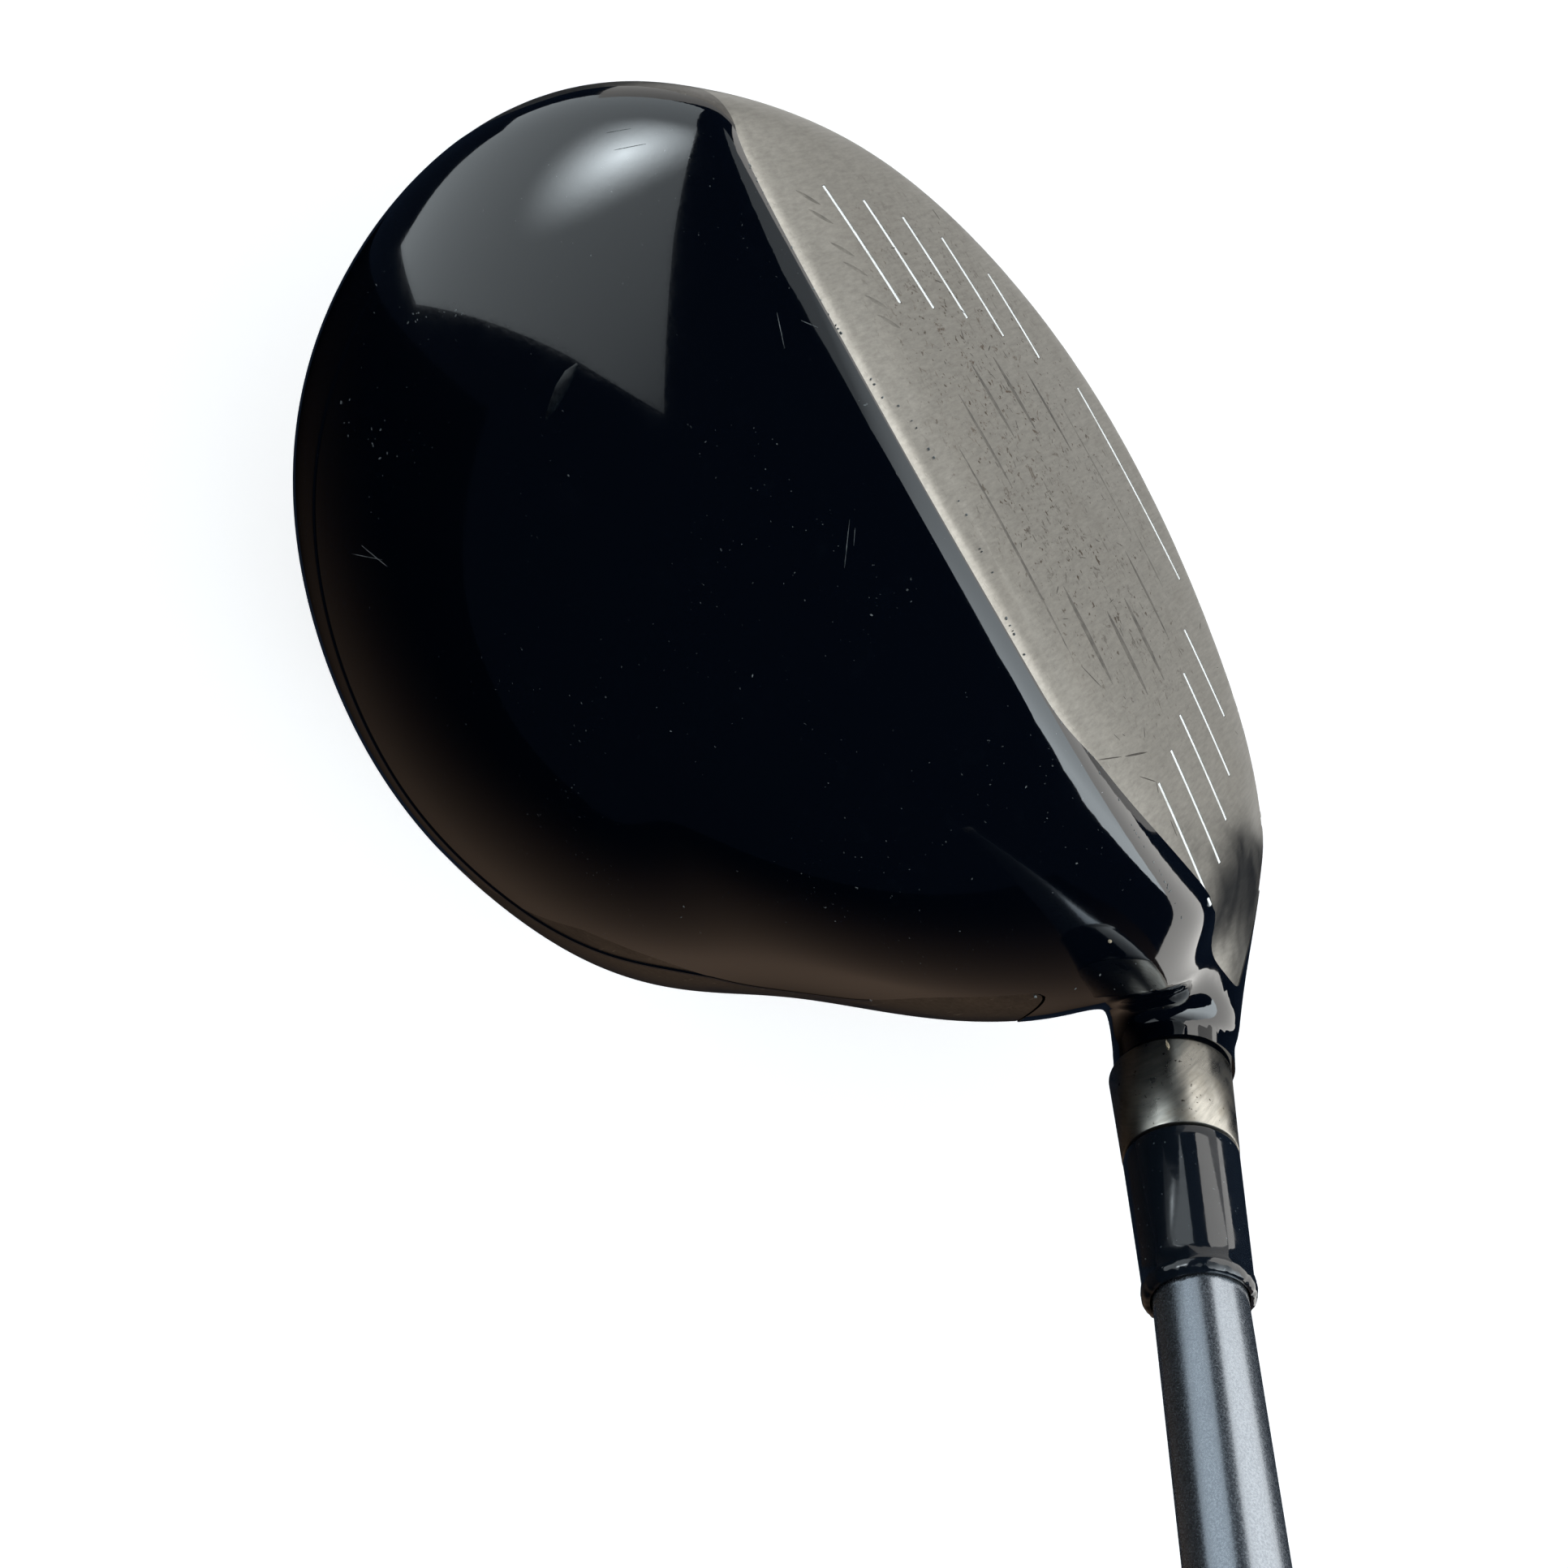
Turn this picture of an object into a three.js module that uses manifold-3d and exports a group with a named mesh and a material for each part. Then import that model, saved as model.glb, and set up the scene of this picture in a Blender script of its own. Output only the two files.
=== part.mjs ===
// A left-handed golf driver, as it stands at address: sole on the ground, shaft leaning towards the player.
//
// Units are millimetres and +Z is up. The whole club is first laid out in the face frame, where X runs from
// heel to toe, Y runs from the face to the back of the head, and x = y = 0 lies under the centre of the face.
// A last group moves it so that the origin is the centre of the flat spot on the sole.
//
// The head is one smooth implicit surface, headField() < 0 inside. It joins a crown dome, a bowl (skirt and
// sole), a cambered sole, a neck round the shaft axis and the bulged and rolled face. Shells, seams and inner
// pieces are all cut from that one surface.

import * as THREE from 'three';
import { mergeVertices } from 'three/addons/utils/BufferGeometryUtils.js';
import Module from 'manifold-3d';

const wasm = await Module();
wasm.setup();

// ---------------------------------------------------------------- driving dimensions

const GAP = 0.3; // clearance between pieces that touch on the real club
const SEAM = GAP / 2;

// face
const LOFT = THREE.MathUtils.degToRad(10.5);
const BULGE_RADIUS = 359; // heel to toe
const ROLL_RADIUS = 309; // crown to sole
const FACE_CENTRE_Z = 31.4;
const FACE_EDGE_ROUND = 2.6;

// body of the head: its outline is a radius every 30 degrees, from the toe round the back to the heel
const BODY_X = 6.2;
const BODY_Y = 43.7;
const OUTLINE_RADII = [59.4, 55.9, 49.8, 44.8, 42.2, 41.0, 45.7, 60.4, 57.8, 53.4, 54.3, 59.7];
const GIRTH_Z = 32.4; // height of the widest line at the middle of the body
const GIRTH_SLOPE_X = 0.06;
const GIRTH_SLOPE_Y = -0.248;
const WALL_HEIGHT = 46.8;
const WALL_POWER = 2.5;
const SOLE_DROP = 6.2;
const SOLE_POWER = 3.0;
const CROWN_TOP_Z = 63.3;
const CROWN_BASE_Z = 30.0;
const CROWN_SLOPE_X = 0.08;
const CROWN_SLOPE_Y = -0.243;
const CROWN_SPREAD = 0.95;
const CROWN_POWER = 2.02;
const CROWN_EDGE_ROUND = 4.2;

// sole: gently cambered, with a flat spot where the club rests
const SOLE_X = 6;
const SOLE_Y = 38;
const CAMBER_X = 320;
const CAMBER_Y = 360;
const CAMBER_CUT = 0.25;
const SOLE_ROUND = 3;

// shaft axis: crosses the ground behind the heel side of the face and leans towards the heel
const LIE = THREE.MathUtils.degToRad(59.7);
const AXIS_X = -34.0;
const AXIS_Y = 18.5;
const NECK_RADIUS = 6.0;
const NECK_FLARE = 0.00096;
const NECK_SHIFT = 0.0021;
const NECK_START = 62.4;
const NECK_BLEND = { back: 8, front: 23.2, frontY: 10, backY: 24 }; // how widely the neck flows into the body
const COLLAR_BLEND = { width: 3, radius: 7, fade: 6, depth: 5 }; // and close under the collar
const NECK_FOOT = 18.7;
const NECK_TOP = 45.6; // the painted neck ends here, measured along the axis from the ground
const NECK_CONE_FOOT = 32; // above this the neck is a turned cone

// walls of the hollow head
const CROWN_WALL = 1.8;
const FACE_WALL = 3.0;
const SEAM_DEPTH = 3.6; // the seam of the face plate lies this far behind the face
// heights of the crown's seam every 15 degrees round the body's middle, from the toe
const SEAM_HEIGHTS = [
  42, 38, 37, 37, 37.5, 39, 43, 49, 52.3, 54.3, 52.4, 47.9,
  48.4, 50.6, 47, 40, 38, 38, 40, 44, 49, 50, 48, 47,
];
const NECK_DIP_X = -40; // beyond this the seam dips under the neck
const NECK_DIP = 0.45;
const NECK_DIP_REACH = 8;
const NECK_CLIP = 6; // the ball's neck stops this far below the neck's top, inside the turned cone

// hosel, ferrule and shaft, all measured along the axis
const HOSEL_BORE = 4.85;
const HOSEL_TUBE_RADIUS = 5.45;
const HOSEL_FOOT = 16;
const COLLAR_START = 45.9;
const COLLAR_END = 56.5;
const COLLAR_RADII = [6.49, 6.01];
const FERRULE_END = 73.5;
const FERRULE_RADII = [5.93, 5.4];
const CLUB_LENGTH = 1143; // 45 inches
const FERRULE_LIP = 1.2;
const FERRULE_LIP_DROP = 0.35;
const FERRULE_BORE = HOSEL_BORE + 0.03;
const TIP_START = 20;
const PLUG_START = 21;
const PLUG_END = 36;
const PIN_START = 36.3;
const PIN_FLANGE_END = 39;
const PIN_END = 58;
const PIN_STEP = 0.6;
const TIP_RADIUS = 4.45; // 0.350 inch tip
const PAINTED_TIP_RADIUS = 4.58;
const BUTT_RADIUS = 7.62; // 0.600 inch butt
const TAPER = 0.00318;
const SHAFT_WALL = 1.2;

// grip
const GRIP_LENGTH = 268;
const GRIP_RADII = [9.6, 13.4];
const TAPE_WALL = 0.35;
const CAP_THICKNESS = 5;
const VENT_RADIUS = 1.2;
const CAP_CHAMFER = 1.5;
const GRIP_LIP = 0.5; // the thin mouth of the grip
const GRIP_STEP = 37;
const TAPE_SETBACK = 6; // the tape starts this far inside the grip's mouth

// scorelines: rows run parallel to the sole, 5.6 apart; the lowest row is a single line under the middle
const ROW_PITCH = 5.63;
const TOP_ROW = 12.0;
const LINE_INNER = [27.2, 25.6, 23.5, 20.4, 16.8];
const LINE_OUTER = [40.9, 38.5, 35.8, 32.6, 27.4];
const LOW_LINE_HALF = 12.1;
const LINE_WIDTH = 0.5;
const LINE_DEPTH = 0.45;
const FILL_SUNK = 0.02;
const GROOVE_WIDTH = LINE_WIDTH + 2 * GAP;
const GROOVE_DEPTH = LINE_DEPTH + GAP;

// pieces inside and under the head
const BADGE = { x: 8, y: 70, halfX: 15, halfY: 7.5, inset: 0.15, thickness: 0.6 };
const HOT_MELT = { centre: [20, 24, 3], half: [20, 13, 4] };
const REAR_WEIGHT = { centre: [8, 84, 12], half: [13, 9, 6] };

// cutting blocks, all larger than the head
const CUTTER = { size: 220, cells: 40, middleY: 40, top: 120 };
const FRONT_CUTTER = { width: 180, height: 130, columns: 24, rows: 18, reach: 60 };
const GROUND = { size: 300, depth: 20 };
const ABOVE_NECK = { radius: 9, top: 80 };
const CONE_STEP = 2.9;
const BADGE_BLOCK_DEPTH = 30;

// ---------------------------------------------------------------- materials

function finish(color, roughness, metalness) {
  return new THREE.MeshStandardMaterial({ color, roughness, metalness });
}

const crownPaint = () => finish(0x05080f, 0.12, 0.1);
const bareTitanium = () => finish(0x96948c, 0.42, 0.9);
const satinSole = () => finish(0x4a4845, 0.4, 0.85);
const brushedHosel = () => finish(0xaaa49a, 0.3, 0.95);
const glossBlack = () => finish(0x08090b, 0.15, 0.0);
const shaftPaint = () => finish(0x59626d, 0.3, 0.7);
const whitePaint = () => finish(0xf2f2ee, 0.5, 0.0);
const gripRubber = () => finish(0x141414, 0.85, 0.0);
const paleTape = () => finish(0xcfc7a8, 0.8, 0.0);
const cork = () => finish(0xa5763f, 0.9, 0.0);
const brass = () => finish(0xb08d4a, 0.35, 0.9);
const hotMelt = () => finish(0xd9c98f, 0.5, 0.0);
const tungstenGrey = () => finish(0x6f7276, 0.45, 0.9);
const badgeMetal = () => finish(0xb9bcc0, 0.3, 0.9);

// ---------------------------------------------------------------- the head's surface

const faceUp = new THREE.Vector3(0, Math.sin(LOFT), Math.cos(LOFT));
const faceOut = new THREE.Vector3(0, -Math.cos(LOFT), Math.sin(LOFT));
const faceCentre = new THREE.Vector3(0, 0, FACE_CENTRE_Z);
const axisFoot = new THREE.Vector3(AXIS_X, AXIS_Y, 0);
const axisUp = new THREE.Vector3(-Math.cos(LIE), 0, Math.sin(LIE));

function smoothMax(a, b, width) {
  const overlap = Math.max(width - Math.abs(a - b), 0) / width;
  return Math.max(a, b) + (overlap ** 3 * width) / 6;
}

function smoothMin(a, b, width) {
  return -smoothMax(-a, -b, width);
}

// Distance to the face surface, positive in front of it.
function faceField(p) {
  const q = p.clone().sub(faceCentre);
  const s = q.dot(faceUp);
  return q.dot(faceOut) + p.x ** 2 / (2 * BULGE_RADIUS) + s ** 2 / (2 * ROLL_RADIUS);
}

// A smooth closed outline through the radii, by trigonometric interpolation.
function outlineRadius(angle) {
  const n = OUTLINE_RADII.length;
  let radius = 0;
  OUTLINE_RADII.forEach((value, k) => {
    const turn = angle - (2 * Math.PI * k) / n;
    const near = Math.abs(Math.sin(turn / 2)) < 1e-7;
    radius += value * (near ? 1 : Math.sin((n * turn) / 2) / (n * Math.tan(turn / 2)));
  });
  return radius;
}

// Distance to a superellipse with half axes width and height, for a point at the given shares of them.
function superellipse(across, up, width, height, power) {
  const q = Math.abs(across) + 1e-6;
  const h = Math.abs(up) + 1e-6;
  const size = (q ** power + h ** power) ** (1 / power);
  const slope = Math.hypot((q / size) ** (power - 1) / width, (h / size) ** (power - 1) / height);
  return (size - 1) / Math.max(slope, 1e-4);
}

function bowlField(x, y, z, rho, radius) {
  const girth = GIRTH_Z + GIRTH_SLOPE_Y * y + GIRTH_SLOPE_X * x;
  const rise = z - girth;
  if (rise > 0) {
    return superellipse(rho / radius, rise / WALL_HEIGHT, radius, WALL_HEIGHT, WALL_POWER);
  }
  const depth = girth + SOLE_DROP;
  return superellipse(rho / radius, rise / depth, radius, depth, SOLE_POWER);
}

function crownField(x, y, z, rho, radius) {
  const base = CROWN_BASE_Z + CROWN_SLOPE_Y * y + CROWN_SLOPE_X * x;
  const height = CROWN_TOP_Z - base;
  const spread = radius / CROWN_SPREAD;
  if (z < base) {
    return rho - spread;
  }
  return superellipse(rho / spread, (z - base) / height, spread, height, CROWN_POWER);
}

function soleField(p) {
  const camber = (p.x - SOLE_X) ** 2 / (2 * CAMBER_X) + (p.y - SOLE_Y) ** 2 / (2 * CAMBER_Y);
  return camber - CAMBER_CUT - p.z;
}

function neckRadius(along) {
  return NECK_RADIUS + NECK_FLARE * Math.max(NECK_START - along, 0) ** 2;
}

function neckField(p) {
  const q = p.clone().sub(axisFoot);
  const along = q.dot(axisUp);
  q.addScaledVector(axisUp, -along);
  q.y += NECK_SHIFT * Math.max(NECK_START - along, 0) ** 2;
  return Math.max(q.length() - neckRadius(along), NECK_FOOT - along, along - NECK_TOP + NECK_CLIP);
}

function eased(share) {
  const held = Math.min(Math.max(share, 0), 1);
  return held * held * (3 - 2 * held);
}

// The width of the blend from neck to body at a point.
function neckBlend(p) {
  const { back, front, frontY, backY } = NECK_BLEND;
  const { width, radius, fade, depth } = COLLAR_BLEND;
  const q = p.clone().sub(axisFoot);
  const along = q.dot(axisUp);
  const away = q.addScaledVector(axisUp, -along).length();
  const near = (1 - eased((away - radius) / fade)) * (1 - eased((NECK_TOP - along) / depth));
  const wide = back + (front - back) * eased((backY - p.y) / (backY - frontY));
  return width + (wide - width) * (1 - near);
}

function bodyField(p) {
  const x = p.x - BODY_X;
  const y = p.y - BODY_Y;
  const rho = Math.hypot(x, y);
  const radius = outlineRadius(Math.atan2(y, x));
  const bowl = bowlField(x, y, p.z, rho, radius);
  const crown = crownField(x, y, p.z, rho, radius);
  const shell = smoothMax(smoothMax(bowl, crown, CROWN_EDGE_ROUND), soleField(p), SOLE_ROUND);
  return smoothMin(shell, neckField(p), neckBlend(p));
}

// Negative inside the head. wall and faceWall move the surface inwards.
function headField(p, wall = 0, faceWall = 0) {
  return smoothMax(bodyField(p) + wall, faceField(p) + faceWall, FACE_EDGE_ROUND);
}

// ---------------------------------------------------------------- solids

// Merges a closed geometry's vertices, drops its zero-area triangles and hands it to the boolean library.
function solid(geometry, matrix = new THREE.Matrix4()) {
  const bare = geometry.clone().applyMatrix4(matrix);
  bare.deleteAttribute('normal');
  bare.deleteAttribute('uv');
  const merged = mergeVertices(bare, 1e-4);
  const index = merged.index.array;
  const kept = [];
  for (let i = 0; i < index.length; i += 3) {
    const [a, b, c] = [index[i], index[i + 1], index[i + 2]];
    if (a !== b && b !== c && c !== a) {
      kept.push(a, b, c);
    }
  }
  const mesh = new wasm.Mesh({
    numProp: 3,
    vertProperties: new Float32Array(merged.attributes.position.array),
    triVerts: new Uint32Array(kept),
  });
  mesh.merge();
  return new wasm.Manifold(mesh);
}

function geometryOf(manifold) {
  const mesh = manifold.getMesh();
  const geometry = new THREE.BufferGeometry();
  geometry.setAttribute('position', new THREE.BufferAttribute(new Float32Array(mesh.vertProperties), 3));
  geometry.setIndex(new THREE.BufferAttribute(new Uint32Array(mesh.triVerts), 1));
  geometry.computeVertexNormals();
  return geometry;
}

// The frame of the shaft axis: local +Y runs up the shaft from the ground.
const axisFrame = new THREE.Matrix4().compose(
  axisFoot,
  new THREE.Quaternion().setFromUnitVectors(new THREE.Vector3(0, 1, 0), axisUp),
  new THREE.Vector3(1, 1, 1),
);

// A piece turned about the shaft axis, from [radius, distance along the axis] corners.
function turned(corners, sides) {
  const points = corners.map(([radius, along]) => new THREE.Vector2(radius, along));
  return new THREE.LatheGeometry(points, sides);
}

function turnedSolid(corners, sides) {
  return solid(turned(corners, sides), axisFrame);
}

// Closed tube profile: out along the bore, back along the outside.
function tubeCorners(outside, bore) {
  return [...outside, ...[...bore].reverse(), outside[0]];
}

// The head's surface moved inwards, as a ball whose points are pushed out along rays from inside the head.
const BALL_DETAIL = 8;
const CORE = new THREE.Vector3(0, 33, 29);
const REACH = 90;
const STEP = 1.5;

function surfaceDistance(direction, wall, faceWall) {
  const p = new THREE.Vector3();
  const outside = (r) => headField(p.copy(CORE).addScaledVector(direction, r), wall, faceWall) > 0;
  let far = STEP;
  while (far < REACH && !outside(far)) {
    far += STEP;
  }
  let near = far - STEP;
  for (let i = 0; i < 18; i += 1) {
    const middle = (near + far) / 2;
    if (outside(middle)) {
      far = middle;
    } else {
      near = middle;
    }
  }
  return (near + far) / 2;
}

function headBall(wall, faceWall, detail = BALL_DETAIL) {
  const ball = new THREE.IcosahedronGeometry(1, detail);
  const position = ball.attributes.position;
  const direction = new THREE.Vector3();
  const p = new THREE.Vector3();
  for (let i = 0; i < position.count; i += 1) {
    direction.fromBufferAttribute(position, i).normalize();
    p.copy(CORE).addScaledVector(direction, surfaceDistance(direction, wall, faceWall));
    position.setXYZ(i, p.x, p.y, p.z);
  }
  return solid(ball);
}

// A block over the whole head, whose lower side follows floor(x, y).
function overCutter(floor) {
  const { size, cells, middleY, top } = CUTTER;
  const box = new THREE.BoxGeometry(size, size, 2, cells, cells, 1);
  const position = box.attributes.position;
  for (let i = 0; i < position.count; i += 1) {
    const x = position.getX(i);
    const y = position.getY(i) + middleY;
    position.setXYZ(i, x, y, position.getZ(i) > 0 ? top : floor(x, y));
  }
  return solid(box);
}

// Everything in front of the face surface moved back by depth.
function frontCutter(depth) {
  const { width, height, columns, rows, reach } = FRONT_CUTTER;
  const box = new THREE.BoxGeometry(width, height, 2, columns, rows, 1);
  const position = box.attributes.position;
  const p = new THREE.Vector3();
  for (let i = 0; i < position.count; i += 1) {
    const x = position.getX(i);
    const s = position.getY(i);
    const sag = x ** 2 / (2 * BULGE_RADIUS) + s ** 2 / (2 * ROLL_RADIUS);
    const out = position.getZ(i) > 0 ? reach : -sag - depth;
    p.copy(faceCentre).addScaledVector(faceUp, s).addScaledVector(faceOut, out);
    position.setXYZ(i, x + p.x, p.y, p.z);
  }
  return solid(box);
}

// A smooth height for each direction from the body's middle, through the listed ones.
function heightRound(heights, x, y) {
  const count = heights.length;
  const turn = (Math.atan2(y - BODY_Y, x - BODY_X) / (2 * Math.PI)) * count;
  const first = Math.floor(turn);
  const t = turn - first;
  const [a, b, c, d] = [-1, 0, 1, 2].map((k) => heights[(first + k + count) % count]);
  const bend = 2 * a - 5 * b + 4 * c - d + (3 * b - a - 3 * c + d) * t;
  return b + 0.5 * t * (c - a + t * bend);
}

// The crown's seam with the skirt, which dips under the neck at the heel.
function seamHeight(x, y) {
  const beyond = Math.min(Math.max(NECK_DIP_X - x, 0), NECK_DIP_REACH);
  return heightRound(SEAM_HEIGHTS, x, y) - NECK_DIP * beyond ** 2;
}

function aboveSeam(offset) {
  return overCutter((x, y) => seamHeight(x, y) + offset);
}

// ---------------------------------------------------------------- head shells

// The ball is too coarse for the short neck, so a turned cone gives it a round top.
function neckCone(inset) {
  const outside = [];
  for (let along = NECK_CONE_FOOT; along < NECK_TOP; along += CONE_STEP) {
    outside.push([neckRadius(along) - inset, along]);
  }
  outside.push([neckRadius(NECK_TOP) - inset, NECK_TOP]);
  const corners = [[0, outside[0][1]], ...outside, [0, NECK_TOP]];
  return turnedSolid(corners, 28);
}

const bodyOuter = headBall(0, 0).add(neckCone(0));
const bodyInner = headBall(CROWN_WALL, FACE_WALL);
const ground = solid(
  new THREE.BoxGeometry(GROUND.size, GROUND.size, GROUND.depth),
  new THREE.Matrix4().makeTranslation(0, 0, -GROUND.depth / 2),
);
const boreRadius = HOSEL_TUBE_RADIUS + GAP;
const neckBore = turnedSolid(
  [[0, -GROUND.depth], [boreRadius, -GROUND.depth], [boreRadius, COLLAR_END], [0, COLLAR_END]],
  28,
);
const aboveNeck = turnedSolid(
  [[0, NECK_TOP], [ABOVE_NECK.radius, NECK_TOP], [ABOVE_NECK.radius, ABOVE_NECK.top], [0, ABOVE_NECK.top]],
  28,
);
const hollowHead = bodyOuter.subtract(bodyInner).subtract(ground).subtract(neckBore).subtract(aboveNeck);

const frontOfSeam = frontCutter(SEAM_DEPTH - SEAM);
const behindSeam = frontCutter(SEAM_DEPTH + SEAM);

function crownShell() {
  return hollowHead.intersect(aboveSeam(SEAM)).subtract(behindSeam);
}

function soleShell() {
  const recess = badgeBlock(GAP, 0, BADGE.inset + BADGE.thickness + GAP);
  return hollowHead.subtract(aboveSeam(-SEAM)).subtract(behindSeam).subtract(recess);
}

// ---------------------------------------------------------------- score lines

// Every line as { name, row height on the face, middle x, half length }.
function scoreLines() {
  const lines = [];
  LINE_INNER.forEach((inner, row) => {
    const half = (LINE_OUTER[row] - inner) / 2;
    const s = TOP_ROW - ROW_PITCH * row;
    lines.push({ name: `score_fill_toe_${row + 1}`, s, x: inner + half, half });
    lines.push({ name: `score_fill_heel_${row + 1}`, s, x: -inner - half, half });
  });
  lines.push({ name: 'score_fill_low', s: TOP_ROW - ROW_PITCH * 5, x: 0, half: LOW_LINE_HALF });
  return lines;
}

// A bar on the face, from top to bottom below the face surface, turned to lie along the bulge.
function faceBar({ s, x, half }, width, top, bottom, extra) {
  const bar = new THREE.BoxGeometry(2 * (half + extra), width, top - bottom);
  const sag = x ** 2 / (2 * BULGE_RADIUS) + s ** 2 / (2 * ROLL_RADIUS);
  const centre = new THREE.Vector3(x, 0, 0).add(faceCentre);
  centre.addScaledVector(faceUp, s).addScaledVector(faceOut, (top + bottom) / 2 - sag);
  const frame = new THREE.Matrix4().makeBasis(new THREE.Vector3(1, 0, 0), faceUp, faceOut);
  frame.multiply(new THREE.Matrix4().makeRotationY(Math.asin(x / BULGE_RADIUS)));
  frame.setPosition(centre);
  return solid(bar, frame);
}

function facePlate() {
  const grooves = scoreLines().map((line) => faceBar(line, GROOVE_WIDTH, 2, -GROOVE_DEPTH, GAP));
  return hollowHead.intersect(frontOfSeam).subtract(wasm.Manifold.union(grooves));
}

// ---------------------------------------------------------------- sole badge and inner pieces

// An oval block through the sole, clipped between two depths below the head's surface.
function badgeBlock(grow, from, to) {
  const outline = new THREE.Shape();
  outline.absellipse(0, 0, BADGE.halfX + grow, BADGE.halfY + grow, 0, 2 * Math.PI);
  const extrusion = { depth: BADGE_BLOCK_DEPTH, bevelEnabled: false, curveSegments: 20 };
  const oval = new THREE.ExtrudeGeometry(outline, extrusion);
  const block = solid(oval, new THREE.Matrix4().makeTranslation(BADGE.x, BADGE.y, -BADGE_BLOCK_DEPTH / 3));
  const upper = headBall(to, to);
  return from > 0 ? block.intersect(headBall(from, from)).subtract(upper) : block.subtract(upper);
}

function soleBadge() {
  return badgeBlock(0, BADGE.inset, BADGE.inset + BADGE.thickness);
}

// A flattened lump that fills a corner of the cavity, clear of the walls.
function lump({ centre, half }) {
  const place = new THREE.Matrix4().makeTranslation(...centre);
  place.scale(new THREE.Vector3(...half));
  return solid(new THREE.SphereGeometry(1, 18, 12), place).intersect(cavity);
}

const cavity = headBall(CROWN_WALL + GAP, FACE_WALL + GAP);

// ---------------------------------------------------------------- shaft, hosel and grip

function shaftRadius(along) {
  if (along < FERRULE_END - 3) {
    return TIP_RADIUS;
  }
  return Math.min(PAINTED_TIP_RADIUS + TAPER * Math.max(along - FERRULE_END, 0), BUTT_RADIUS);
}

const SHAFT_END = CLUB_LENGTH - CAP_THICKNESS - GAP;
const TAPER_END = FERRULE_END + (BUTT_RADIUS - PAINTED_TIP_RADIUS) / TAPER;

function shaft() {
  const stations = [TIP_START, FERRULE_END - 3.1, FERRULE_END, TAPER_END, SHAFT_END];
  const outside = stations.map((along) => [shaftRadius(along), along]);
  const bore = stations.map((along) => [shaftRadius(along) - SHAFT_WALL, along]);
  return turned(tubeCorners(outside, bore), 32);
}

function hoselTube() {
  const outside = [
    [HOSEL_TUBE_RADIUS, HOSEL_FOOT],
    [HOSEL_TUBE_RADIUS, COLLAR_START],
    [COLLAR_RADII[0], COLLAR_START],
    [COLLAR_RADII[1], COLLAR_END],
  ];
  const bore = [[HOSEL_BORE, HOSEL_FOOT], [HOSEL_BORE, COLLAR_END]];
  return turned(tubeCorners(outside, bore), 36);
}

function ferrule() {
  const start = COLLAR_END + GAP;
  const outside = [
    [FERRULE_RADII[0], start],
    [FERRULE_RADII[1], FERRULE_END - FERRULE_LIP],
    [FERRULE_RADII[1] - FERRULE_LIP_DROP, FERRULE_END],
  ];
  const bore = [[FERRULE_BORE, start], [FERRULE_BORE, FERRULE_END]];
  return turned(tubeCorners(outside, bore), 36);
}

function tipPlug() {
  const radius = TIP_RADIUS - SHAFT_WALL - GAP;
  return turned([[0, PLUG_START], [radius, PLUG_START], [radius, PLUG_END], [0, PLUG_END]], 20);
}

function tipWeightPin() {
  const flange = TIP_RADIUS - SHAFT_WALL - GAP;
  const stem = flange - PIN_STEP;
  const corners = [
    [0, PIN_START],
    [flange, PIN_START],
    [flange, PIN_FLANGE_END],
    [stem, PIN_FLANGE_END],
    [stem, PIN_END],
    [0, PIN_END],
  ];
  return turned(corners, 20);
}

const GRIP_START = CLUB_LENGTH - GRIP_LENGTH;
const GRIP_BORE = BUTT_RADIUS + TAPE_WALL + 2 * GAP;

function gripRadius(along) {
  const share = (along - GRIP_START) / GRIP_LENGTH;
  return GRIP_RADII[0] + (GRIP_RADII[1] - GRIP_RADII[0]) * share ** 1.4;
}

function gripTape() {
  const start = GRIP_START + TAPE_SETBACK;
  const outer = BUTT_RADIUS + GAP + TAPE_WALL;
  const inner = BUTT_RADIUS + GAP;
  const outside = [[outer, start], [outer, SHAFT_END]];
  const bore = [[inner, start], [inner, SHAFT_END]];
  return turned(tubeCorners(outside, bore), 28);
}

function grip() {
  const outside = [[gripRadius(GRIP_START) - GRIP_LIP, GRIP_START]];
  for (let along = GRIP_START + CAP_CHAMFER; along < SHAFT_END - CAP_THICKNESS; along += GRIP_STEP) {
    outside.push([gripRadius(along), along]);
  }
  outside.push([gripRadius(SHAFT_END), SHAFT_END]);
  const bore = [[GRIP_BORE, GRIP_START], [GRIP_BORE, SHAFT_END]];
  return turned(tubeCorners(outside, bore), 32);
}

function gripCap() {
  const start = SHAFT_END + GAP;
  const radius = gripRadius(SHAFT_END);
  const outside = [[radius, start], [radius, CLUB_LENGTH - CAP_CHAMFER], [radius - CAP_CHAMFER, CLUB_LENGTH]];
  const bore = [[VENT_RADIUS, start], [VENT_RADIUS, CLUB_LENGTH]];
  return turned(tubeCorners(outside, bore), 32);
}

// ---------------------------------------------------------------- the assembly

const club = new THREE.Group();
const head = new THREE.Group();
const stem = new THREE.Group();
stem.applyMatrix4(axisFrame);

function add(group, name, geometry, material) {
  const mesh = new THREE.Mesh(geometry, material);
  mesh.name = name;
  group.add(mesh);
}

add(head, 'crown_shell', geometryOf(crownShell()), crownPaint());
add(head, 'face_plate', geometryOf(facePlate()), bareTitanium());
add(head, 'sole_shell', geometryOf(soleShell()), satinSole());
add(head, 'sole_badge', geometryOf(soleBadge()), badgeMetal());
add(head, 'hot_melt_pad', geometryOf(lump(HOT_MELT)), hotMelt());
add(head, 'rear_weight_pad', geometryOf(lump(REAR_WEIGHT)), tungstenGrey());
scoreLines().forEach((line) => {
  const bar = faceBar(line, LINE_WIDTH, -FILL_SUNK, -LINE_DEPTH, 0);
  add(head, line.name, geometryOf(bar), whitePaint());
});

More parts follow.
